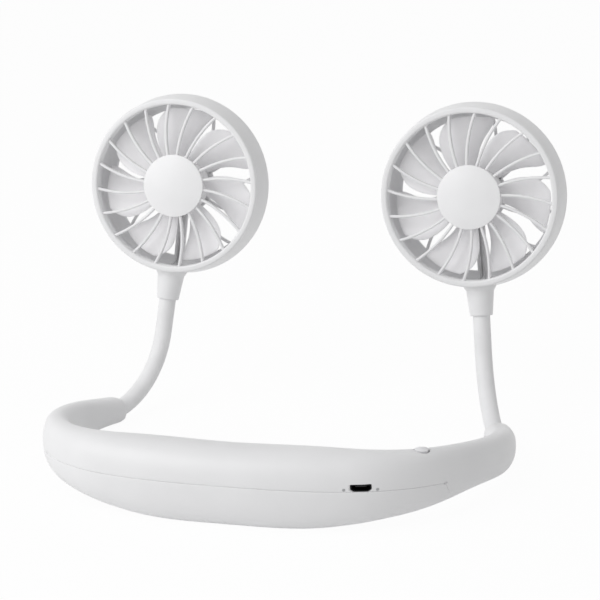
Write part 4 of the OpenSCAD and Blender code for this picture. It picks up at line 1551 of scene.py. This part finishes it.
@dataclass
class FanHead:
    """One fan head: shroud, collar, both grilles, cap and fan wheel.

    Its own frame has Z along the axis towards the front grille and Y up from the collar.

    Attributes:
        side: which head.
        course: the course of the arm that carries it.
        radius, depth: size of the head.
        tip: how far it is tipped forward where its collar meets the shroud.
        swell: how much wider the shroud is than the front ring.
        wall: wall of the shroud.
        seat: height of the joint between shroud and front grille.
        rear_round, rear_turn_in, rear_lip: rounding of the shroud's back, its angle and inward reach.
        rib_w, rib_depth: section of the ribs.
        front_ribs, front_turn: number of front ribs and how far they bend round.
        rear_ribs, rear_turn: number and bend of the rear ribs.
        latch_wall, latch_depth: the front ring's skirt inside the shroud.
        seat_gap: gap between the skirt and the shroud.
        cap_r, cap_rise, cap_edge, cap_lift: the domed cap.
        pin_r, pin_hole_r: the cap's pin and its hole in the disc.
        disc_r: radius of the disc under the cap.
        motor_seat_r, motor_r, motor_ring: the motor's seat at the back.
        ring_root_share: height of that ring's root in the seat's disc.
        channel_w: width of the bar that hides the leads.
        collar_end_r, collar_top_r, collar_flare: radii of the collar.
        collar_neck, collar_curve, collar_foot, collar_foot_edge: height and roundings of its flare.
        collar_root_share: share of the swell that its root keeps.
        collar_bore, mouth_edge: depth of the bore for the arm and the rounding of its mouth.
        lead_r: bore for the leads.
        screw_spread, screw_r, screw_h, screw_sides: the motor's screws.
        fine_edge, small_edge, edge, soft_edge, rim_edge: roundings, from the finest to the widest.
        inner_turn_share: share of the back's rounding that its inner face follows.
        turns, collar_turns, arc_steps, rib_steps, bar_steps, cap_steps: steps of the round forms.
        round_steps: lines in a rounding that shows.
        crease: angle in degrees over which the cap's and the wheel's edges stay sharp.
    """

    side: Side
    course: ArmCourse
    radius: float = 37.5 * MM
    depth: float = 19 * MM
    tip: float = 6 * DEGREE
    swell: float = 1.4 * MM
    wall: float = 1.5 * MM
    seat: float = 7.1 * MM
    rear_round: float = 6.5 * MM
    rear_turn_in: float = 80 * DEGREE
    rear_lip: float = 5 * MM
    rib_w: float = 1.2 * MM
    rib_depth: float = 1.6 * MM
    front_ribs: int = 20
    front_turn: float = 26 * DEGREE
    rear_ribs: int = 12
    rear_turn: float = 46 * DEGREE
    latch_wall: float = 1.2 * MM
    latch_depth: float = 2.2 * MM
    seat_gap: float = 0.1 * MM
    cap_r: float = 13.4 * MM
    cap_rise: float = 2.2 * MM
    cap_edge: float = 0.5 * MM
    cap_lift: float = 0.05 * MM
    pin_r: float = 3 * MM
    pin_hole_r: float = 3.05 * MM
    disc_r: float = 13.1 * MM
    motor_seat_r: float = 12.6 * MM
    motor_r: float = 8.5 * MM
    motor_ring: float = 1.4 * MM
    ring_root_share: float = 0.7
    channel_w: float = 4.4 * MM
    collar_end_r: float = 4.75 * MM
    collar_top_r: float = 5.8 * MM
    collar_flare: float = 1.2 * MM
    collar_neck: float = 1.6 * MM
    collar_curve: float = 2.4 * MM
    collar_foot: float = 0.3 * MM
    collar_foot_edge: float = 0.8 * MM
    collar_root_share: float = 2 / 3
    collar_bore: float = 6.2 * MM
    mouth_edge: float = 0.25 * MM
    lead_r: float = 1.6 * MM
    screw_spread: float = 5.4 * MM
    screw_r: float = 1.6 * MM
    screw_h: float = 0.8 * MM
    screw_sides: int = 40
    fine_edge: float = 0.15 * MM
    small_edge: float = 0.2 * MM
    edge: float = 0.3 * MM
    soft_edge: float = 0.5 * MM
    rim_edge: float = 0.9 * MM
    inner_turn_share: float = 0.75
    turns: int = 180
    collar_turns: int = 72
    arc_steps: int = 12
    rib_steps: int = 24
    bar_steps: int = 12
    cap_steps: int = 24
    round_steps: int = 8
    crease: float = 50

    @property
    def body(self) -> str:
        """Name of the head's body."""
        return f"{self.side.prefix}_head"

    @property
    def lean(self) -> float:
        """How far the head leans inwards."""
        return math.asin(math.cos(self.course.end_slope) * math.sin(self.course.turn))

    def placed(self) -> Matrix:
        """Gives the head's own frame, at its fan's axis.

        Returns:
            The frame.
        """
        slope = self.course.end_slope
        pitch = math.atan2(math.cos(slope) * math.cos(self.course.turn), math.sin(slope)) - self.tip
        return (joint_place(f"{self.side.prefix}_fan_spin") @ Matrix.Rotation(-pitch, 4, "X")
                @ Matrix.Rotation(-self.side.value * self.lean, 4, "Y")
                @ Matrix.Rotation(math.pi / 2, 4, "X"))

    def in_collar(self) -> Matrix:
        """Gives the turn that brings the collar in line with the arm.

        Returns:
            The turn, in the head's own frame.
        """
        foot = Matrix.Translation((0, -self.radius, 0))
        axis = Vector((math.cos(self.lean), -self.side.value * math.sin(self.lean), 0))
        return foot @ Matrix.Rotation(-self.tip, 4, axis) @ foot.inverted()

    def rib(self, start: float, end: float, turn: float, low: float, mirrored: bool) -> Form:
        """Makes one bar of a grille, which leaves the hub radially and bends round.

        Args:
            start: radius where it starts.
            end: how far up it ends.
            turn: how far it bends round.
            low: height of its back.
            mirrored: whether it bends the other way.

        Returns:
            The bar, upright in the head's own frame.
        """
        bend = (end - start) / math.sin(turn)
        way = -1 if mirrored else 1
        half = self.rib_w / 2
        top_round, low_round = self.soft_edge, self.fine_edge
        if mirrored:
            top_round, low_round = low_round, top_round
        section = rounded([(-half, low, low_round), (half, low, low_round),
                           (half, low + self.rib_depth, top_round),
                           (-half, low + self.rib_depth, top_round)], 4)
        rings = []
        for k in range(self.rib_steps + 1):
            a = turn * k / self.rib_steps
            x, y = bend * (1 - math.cos(a)), start + bend * math.sin(a)
            rings.append([Vector((way * (x + w * math.cos(a)), y - w * math.sin(a), z))
                          for w, z in section])
        return loft(rings)

    def collar(self) -> Form:
        """Makes the collar that holds the arm, with its end on the shroud.

        Returns:
            The collar in the head's own frame.
        """
        end, top, flare = self.collar_end_r, self.collar_top_r, self.collar_top_r + self.collar_flare
        low, root = -self.course.collar_reach, self.radius + self.swell * self.collar_root_share
        sunk = self.radius - self.wall / 2
        bore, floor = self.course.socket_r, low + self.collar_bore
        outline = rounded([(bore, low, self.mouth_edge), (end, low, self.soft_edge),
                           (top, -root - self.collar_neck, self.collar_curve),
                           (flare, -root + self.collar_foot, self.collar_foot_edge), (flare, -sunk, 0),
                           (self.lead_r, -sunk, 0), (self.lead_r, floor, 0),
                           (bore, floor, self.small_edge)], self.round_steps)
        turned = self.in_collar()
        rings = []
        for k in range(self.collar_turns):
            a = 2 * math.pi * k / self.collar_turns
            ring = []
            for r, y in outline:
                point = turned @ Vector((r * math.cos(a), y, r * math.sin(a)))
                share = max(0.0, min(1.0, (y + root) / (root - sunk)))
                middle = self.outer(point.z) - self.wall / 2
                point.y += (-math.sqrt(middle ** 2 - point.x ** 2) - point.y) * share
                ring.append(point)
            rings.append(ring)
        return loft(rings, looped=True)

    def outer(self, z: float) -> float:
        """Returns the shroud's outer radius at z, between its back's rounding and the front ring."""
        widest = self.rear_round - self.depth / 2
        return self.radius + self.swell * min(1.0, (self.seat - z) / (self.seat - widest))

    def shroud(self) -> Form:
        """Makes the round wall, which swells towards its rounded back.

        Returns:
            The shroud in the head's own frame.
        """
        inner, back = self.radius - self.wall, -self.depth / 2
        lip, steps = self.radius - self.rear_lip, self.arc_steps
        centre = Vector((self.radius + self.swell - self.rear_round, back + self.rear_round))

        def arc(radius: float, start: float, end: float) -> list[tuple[float, float, float]]:
            """Draws a part of the back's rounding.

            Args:
                radius: its radius.
                start: angle where it starts, below the widest place.
                end: angle where it ends.

            Returns:
                Its points, as corners without rounding.
            """
            angles = [start + (end - start) * k / steps for k in range(steps + 1)]
            return [(centre.x + radius * math.cos(a), centre.y - radius * math.sin(a), 0.0) for a in angles]

        inner_turn = self.rear_turn_in * self.inner_turn_share
        corners = [(inner, self.seat, self.fine_edge), (self.radius, self.seat, self.small_edge),
                   *arc(self.rear_round, 0, self.rear_turn_in),
                   (lip, back, self.edge), (lip, back + self.rib_depth, self.edge),
                   *arc(self.rear_round - self.wall, inner_turn, 0)]
        return lathe(rounded(corners, self.round_steps), self.turns)

    def motor_seat(self) -> Form:
        """Makes the disc and ring that carry the motor, with the screws' recesses.

        Returns:
            The seat in the head's own frame.
        """
        back, face = -self.depth / 2, self.rib_depth - self.depth / 2
        disc = lathe(rounded([(0, back, 0), (self.motor_seat_r, back, self.soft_edge),
                              (self.motor_seat_r, face, self.edge), (0, face, 0)]))
        holes = Form()
        for turn in (-1, 1):
            place = Matrix.Translation((turn * self.screw_spread, 0, back))
            holes.add(rod(self.screw_r, -self.wall, self.screw_h, self.screw_sides).moved(place))
        inner = self.motor_r + self.seat_gap
        outer = inner + self.motor_ring
        root, top = back + self.rib_depth * self.ring_root_share, face + 2 * self.motor_ring
        ring = lathe(rounded([(inner, root, 0), (outer, root, 0),
                              (outer, top, self.edge), (inner, top, self.edge)]))
        return disc.shaped(holes, Cut.AWAY).add(ring)

    def channel(self) -> Form:
        """Makes the bar at the back that hides the leads.

        Returns:
            The bar in the head's own frame.
        """
        back, half = -self.depth / 2, self.channel_w / 2
        section = rounded([(-half, back, self.soft_edge), (half, back, self.soft_edge),
                           (half, back + self.rib_depth, self.small_edge),
                           (-half, back + self.rib_depth, self.small_edge)], 4)
        reach = self.radius - self.rear_lip + self.rib_w / 2
        stops = [-reach + (reach - self.motor_r) * k / self.bar_steps for k in range(self.bar_steps + 1)]
        return loft([[Vector((x, y, z)) for x, z in section] for y in stops])

    def rear(self) -> None:
        """Builds the rear housing."""
        back = -self.depth / 2
        form = self.shroud().add(self.collar()).add(self.motor_seat()).add(self.channel())
        for k in range(1, self.rear_ribs):
            bar = self.rib(self.motor_seat_r - self.rib_w, self.radius - self.rear_lip + self.rib_w / 2,
                           self.rear_turn, back, mirrored=True)
            form.add(bar.moved(Matrix.Rotation(math.pi + 2 * math.pi * k / self.rear_ribs, 4, "Z")))
        show(f"{self.side.prefix}_shroud", form.moved(self.placed()), GRILLE, self.body,
             [f"{self.side.prefix}_rear_housing"])

    def front(self) -> None:
        """Builds the front grille."""
        inner = self.radius - self.wall - self.latch_wall
        skirt = self.radius - self.wall - self.seat_gap
        top, joint, low = self.depth / 2, self.seat + self.cap_lift, self.seat - self.latch_depth
        corners = [(inner, low, self.small_edge), (skirt, low, self.small_edge), (skirt, joint, 0),
                   (self.radius, joint, self.small_edge), (self.radius, top, self.rim_edge),
                   (inner, top, self.rim_edge)]
        form = lathe(rounded(corners, self.round_steps), self.turns)
        for k in range(self.front_ribs):
            bar = self.rib(self.disc_r - self.rib_w, inner + self.rib_w / 2, self.front_turn,
                           self.seat, mirrored=False)
            form.add(bar.moved(Matrix.Rotation(2 * math.pi * k / self.front_ribs, 4, "Z")))
        face = self.seat + self.rib_depth
        form.add(lathe(rounded([(self.pin_hole_r, self.seat, 0), (self.disc_r, self.seat, self.edge),
                                (self.disc_r, face, self.edge), (self.pin_hole_r, face, 0)])))
        show(f"{self.side.prefix}_guard", form.moved(self.placed()), GRILLE, self.body,
             [f"{self.side.prefix}_front_grille"])

    def cap(self) -> None:
        """Builds the domed cap in the middle of the front grille."""
        base = self.seat + self.rib_depth + self.cap_lift
        shoulder = base + self.cap_edge
        dome = []
        for k in range(self.cap_steps):
            r = self.cap_r * k / self.cap_steps
            dome.append((r, shoulder + (self.cap_rise - self.cap_edge) * (1 - (r / self.cap_r) ** 2)))
        edge = rounded([(self.cap_r - self.cap_edge, dome[-1][1], 0), (self.cap_r, shoulder, self.edge),
                        (self.cap_r, base, self.fine_edge), (self.pin_r, base, 0),
                        (self.pin_r, self.seat, self.small_edge), (0, self.seat, 0)])
        show(f"{self.side.prefix}_cap", lathe(dome + edge[1:]).moved(self.placed()), CAP,
             self.body, [f"{self.side.prefix}_hub_cap"], crease=self.crease)

    def build(self) -> None:
        """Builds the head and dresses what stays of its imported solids."""
        self.rear()
        self.front()
        self.cap()
        FanWheel(self).build()
        side = self.side.prefix
        dress(STEEL, f"{side}_motor_can", f"{side}_motor_screws", f"{side}_motor_shaft")
        dress(BRASS, f"{side}_motor_bush")
        dress(COPPER, f"{side}_armature")
        dress(WHITE_LEAD, f"{side}_head_leads")


@dataclass
class FanWheel:
    """The turning wheel: a cup over the motor and its blades.

    Attributes:
        head: the head that carries it.
        blades: number of blades.
        tip_r: radius over the blades.
        cup_r, cup_wall: radius and wall of the cup.
        cup_back, cup_front: ends of the cup along the axis.
        boss_r, boss_back, bore_r, bore_edge: the boss on the shaft.
        back, front: ends of a blade along the axis.
        thick: thickness of a blade.
        sweep: how far a blade leans back at its tip.
        root_share, tip_share: share of its room that a blade fills at its root and tip.
        narrow_start, narrow_run, narrow_share: where its corners start to draw in, and how far.
        twist_share: how much flatter a blade gets towards its tip.
        edge_power, tip_power: how suddenly its edges and its tip thin out.
        cup_round: rounding of the cup's front.
        rows, columns: steps of a blade's skin.
    """

    head: FanHead
    blades: int = 7
    tip_r: float = 33.2 * MM
    cup_r: float = 12.2 * MM
    cup_wall: float = 1.1 * MM
    cup_back: float = -3 * MM
    cup_front: float = 5.4 * MM
    boss_r: float = 2.4 * MM
    boss_back: float = 2.2 * MM
    bore_r: float = 0.9 * MM
    bore_edge: float = 0.1 * MM
    back: float = -4.4 * MM
    front: float = 4.4 * MM
    thick: float = 1 * MM
    sweep: float = 16 * DEGREE
    root_share: float = 0.8
    tip_share: float = 0.86
    narrow_start: float = 0.55
    narrow_run: float = 0.45
    narrow_share: float = 0.28
    twist_share: float = 0.16
    edge_power: int = 8
    tip_power: int = 24
    cup_round: float = 1 * MM
    rows: int = 30
    columns: int = 26

    def blade_point(self, u: float, c: float, way: int) -> Vector:
        """Gives a point of a blade's skin.

        Args:
            u: share of the way from root to tip.
            c: share of the way from its back edge to its front edge.
            way: 1 for the front skin, -1 for the back skin.

        Returns:
            The point.
        """
        root = self.cup_r - self.cup_wall / 2
        r = root + (self.tip_r - root) * u
        width = 2 * math.pi / self.blades * (self.root_share + (self.tip_share - self.root_share) * u)
        width *= 1 - self.narrow_share * (max(0.0, u - self.narrow_start) / self.narrow_run) ** 3
        a = -self.sweep * u * u + (c - 0.5) * width
        z = (self.back + (self.front - self.back) * (c + (1 - 2 * c) * self.twist_share * u)
             + self.thick * math.sin(math.pi * c))
        full = (math.sqrt(max(0.0, 1 - abs(2 * c - 1) ** self.edge_power))
                * math.sqrt(max(0.0, 1 - u ** self.tip_power)))
        z += way * self.thick / 2 * full
        return Vector((r * math.cos(a), r * math.sin(a), z))

    def blade(self) -> Form:
        """Makes one blade with thin rounded edges.

        Returns:
            The blade in the head's own frame.
        """
        def eased(share: float) -> float:
            """Crowds steps towards both edges."""
            return 0.5 - 0.5 * math.cos(math.pi * share)

        rings = []
        for i in range(self.rows + 1):
            u = math.sin(math.pi / 2 * i / self.rows)
            shares = [eased(j / self.columns) for j in range(self.columns + 1)]
            over = [self.blade_point(u, c, 1) for c in shares]
            under = [self.blade_point(u, c, -1) for c in reversed(shares[1:-1])]
            rings.append(over + under)
        return loft(rings)

    def build(self) -> None:
        """Builds the wheel on its own body."""
        head, inner, roof = self.head, self.cup_r - self.cup_wall, self.cup_front - self.cup_wall
        form = lathe(rounded([(self.cup_r, self.cup_back, head.edge),
                              (self.cup_r, self.cup_front, self.cup_round),
                              (self.bore_r, self.cup_front, self.bore_edge),
                              (self.bore_r, self.boss_back, self.bore_edge),
                              (self.boss_r, self.boss_back, head.edge),
                              (self.boss_r, roof, head.small_edge),
                              (inner, roof, head.soft_edge), (inner, self.cup_back, head.small_edge)]))
        for k in range(self.blades):
            form.add(self.blade().moved(Matrix.Rotation(2 * math.pi * k / self.blades, 4, "Z")))
        side = head.side.prefix
        show(f"{side}_blades", form.moved(head.placed()), BLADE, f"{side}_rotor",
             [f"{side}_fan_wheel"], crease=head.crease)


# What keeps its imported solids


def dress(finish: Finish, *nodes: str) -> None:
    """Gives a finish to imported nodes.

    Args:
        finish: the finish.
        nodes: the nodes' names.
    """
    for name in nodes:
        for slot in frame["nodes"][name].material_slots:
            slot.material = finish.material()
        log.info("%s: packed solid, %s", name, finish.name)


@dataclass
class Electronics:
    """The battery, the boards and the wiring inside the band."""

    def build(self) -> None:
        """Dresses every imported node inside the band."""
        dress(WRAP, "battery_cell")
        dress(FOAM, "battery_pad")
        dress(BOARD, "circuit_board", "switch_board")
        dress(CHIP, "board_components", "tact_switch")
        dress(SOCKET, "usb_socket")
        dress(TONGUE, "usb_tongue")
        dress(LENS, "indicator_lenses")
        dress(STEEL, "housing_screws")
        dress(RED_LEAD, "battery_leads")
        dress(WHITE_LEAD, "left_motor_lead", "right_motor_lead")


# Studio


@dataclass
class Studio:
    """Camera, floor, sky and lamps.

    Attributes:
        eye: place of the camera.
        lens, sensor: focal length and sensor width, in millimetres.
        near: distance at which the camera starts to see.
        right, up: the camera's own directions.
        fill: strength of the sky's light on the object.
        key_place: place of the key lamp from the object's middle, to the camera's right, up and back.
        key_size, key_power: its width, and its power in watts.
        top_place, top_size, top_power: the same of the top lamp, with its place along X, Y and Z.
        floor_r, floor_sides: radius of the floor and number of its sides.
        floor_grey: how much light the floor throws back.
        floor_light: share of plain white that the camera sees in the floor.
    """

    eye: Vector = field(default_factory=lambda: Vector((264.64, -843.62, 329.40)) * MM)
    lens: float = 138
    sensor: float = 36
    near: float = 0.01
    right: Vector = field(default_factory=lambda: Vector((0.95917, 0.28103, -0.03202)))
    up: Vector = field(default_factory=lambda: Vector((-0.05086, 0.28274, 0.95785)))
    fill: float = 0.485
    key_place: tuple[float, float, float] = (-0.87, 0.5, 0.65)
    key_size: float = 1
    key_power: float = 7.6
    top_place: tuple[float, float, float] = (0.1, 0.1, 1.1)
    top_size: float = 0.9
    top_power: float = 0.3
    floor_r: float = 6
    floor_sides: int = 96
    floor_grey: float = 0.9
    floor_light: float = 0.96

    def camera(self) -> None:
        """Sets the camera at the photograph's viewing angle."""
        data = bpy.data.cameras.new("studio camera")
        data.lens = self.lens
        data.sensor_width = self.sensor
        data.clip_start = self.near
        thing = bpy.data.objects.new("studio camera", data)
        back = self.right.cross(self.up)
        thing.matrix_world = Matrix.Translation(self.eye) @ Matrix(
            (self.right, self.up, back)).transposed().to_4x4()
        bpy.context.scene.collection.objects.link(thing)
        bpy.context.scene.camera = thing

    def seen(self, tree: bpy.types.NodeTree) -> bpy.types.NodeSocket:
        """Adds the test for what the camera sees, plainly, in a mirror or through glass.

        Args:
            tree: the node tree to add it to.

        Returns:
            1 for such rays and 0 for the rest.
        """
        path = tree.nodes.new("ShaderNodeLightPath")
        total = path.outputs["Is Camera Ray"]
        for name in ("Is Glossy Ray", "Is Transmission Ray"):
            join = tree.nodes.new("ShaderNodeMath")
            join.operation = "MAXIMUM"
            tree.links.new(total, join.inputs[0])
            tree.links.new(path.outputs[name], join.inputs[1])
            total = join.outputs["Value"]
        return total

    def sky(self) -> None:
        """Makes a sky that is white to look at and lights the object softly."""
        world = bpy.data.worlds.new("studio sky")
        world.use_nodes = True
        tree = world.node_tree
        tree.nodes.clear()
        plain = tree.nodes.new("ShaderNodeBackground")
        soft = tree.nodes.new("ShaderNodeBackground")
        soft.inputs["Strength"].default_value = self.fill
        mix = tree.nodes.new("ShaderNodeMixShader")
        output = tree.nodes.new("ShaderNodeOutputWorld")
        for background in (plain, soft):
            background.inputs["Color"].default_value = (1, 1, 1, 1)
        tree.links.new(self.seen(tree), mix.inputs["Fac"])
        tree.links.new(soft.outputs["Background"], mix.inputs[1])
        tree.links.new(plain.outputs["Background"], mix.inputs[2])
        tree.links.new(mix.outputs["Shader"], output.inputs["Surface"])
        bpy.context.scene.world = world

    def floor(self) -> None:
        """Lays a pale floor that keeps the object's shadow."""
        material = bpy.data.materials.new("pale floor")
        material.use_nodes = True
        tree = material.node_tree
        tree.nodes.clear()
        matt = tree.nodes.new("ShaderNodeBsdfDiffuse")
        matt.inputs["Color"].default_value = (self.floor_grey, self.floor_grey, self.floor_grey, 1)
        plain = tree.nodes.new("ShaderNodeEmission")
        share = tree.nodes.new("ShaderNodeMath")
        share.operation = "MULTIPLY"
        share.inputs[1].default_value = self.floor_light
        mix = tree.nodes.new("ShaderNodeMixShader")
        output = tree.nodes.new("ShaderNodeOutputMaterial")
        tree.links.new(self.seen(tree), share.inputs[0])
        tree.links.new(share.outputs["Value"], mix.inputs["Fac"])
        tree.links.new(matt.outputs["BSDF"], mix.inputs[1])
        tree.links.new(plain.outputs["Emission"], mix.inputs[2])
        tree.links.new(mix.outputs["Shader"], output.inputs["Surface"])
        mesh = bpy.data.meshes.new("floor")
        mesh.from_pydata(circle(self.floor_r, self.floor_sides), [], [tuple(range(self.floor_sides))])
        mesh.materials.append(material)
        thing = bpy.data.objects.new("floor", mesh)
        bpy.context.scene.collection.objects.link(thing)
        thing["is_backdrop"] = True

    def lamp(self, name: str, place: Vector, aim: Vector, size: float, power: float) -> None:
        """Hangs one square lamp.

        Args:
            name: its name.
            place: where it hangs.
            aim: the point that it faces.
            size: its width.
            power: its power in watts.
        """
        data = bpy.data.lights.new(name, "AREA")
        data.size = size
        data.energy = power
        thing = bpy.data.objects.new(name, data)
        thing.matrix_world = (Matrix.Translation(place)
                              @ (place - aim).to_track_quat("Z", "Y").to_matrix().to_4x4())
        bpy.context.scene.collection.objects.link(thing)

    def build(self) -> None:
        """Sets up the whole studio."""
        low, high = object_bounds()
        middle = (Vector(low) + Vector(high)) / 2
        self.camera()
        self.sky()
        self.floor()
        across, above, behind = self.key_place
        key = middle + self.right * across + self.up * above + self.right.cross(self.up) * behind
        self.lamp("key lamp", key, middle, self.key_size, self.key_power)
        self.lamp("top lamp", middle + Vector(self.top_place), middle, self.top_size, self.top_power)
        bpy.context.scene.view_settings.view_transform = "Standard"


def main() -> None:
    """Builds the studio and every sub-assembly."""
    logging.basicConfig(level=logging.INFO, format="%(message)s")
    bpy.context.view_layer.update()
    Studio().build()
    band = BandForm()
    course = ArmCourse(band)
    Neckband(band, course).build()
    PowerButton().build()
    Electronics().build()
    for side in Side:
        Arm(side, course).build()
        FanHead(side, course).build()


if __name__ == "__main__":
    main()
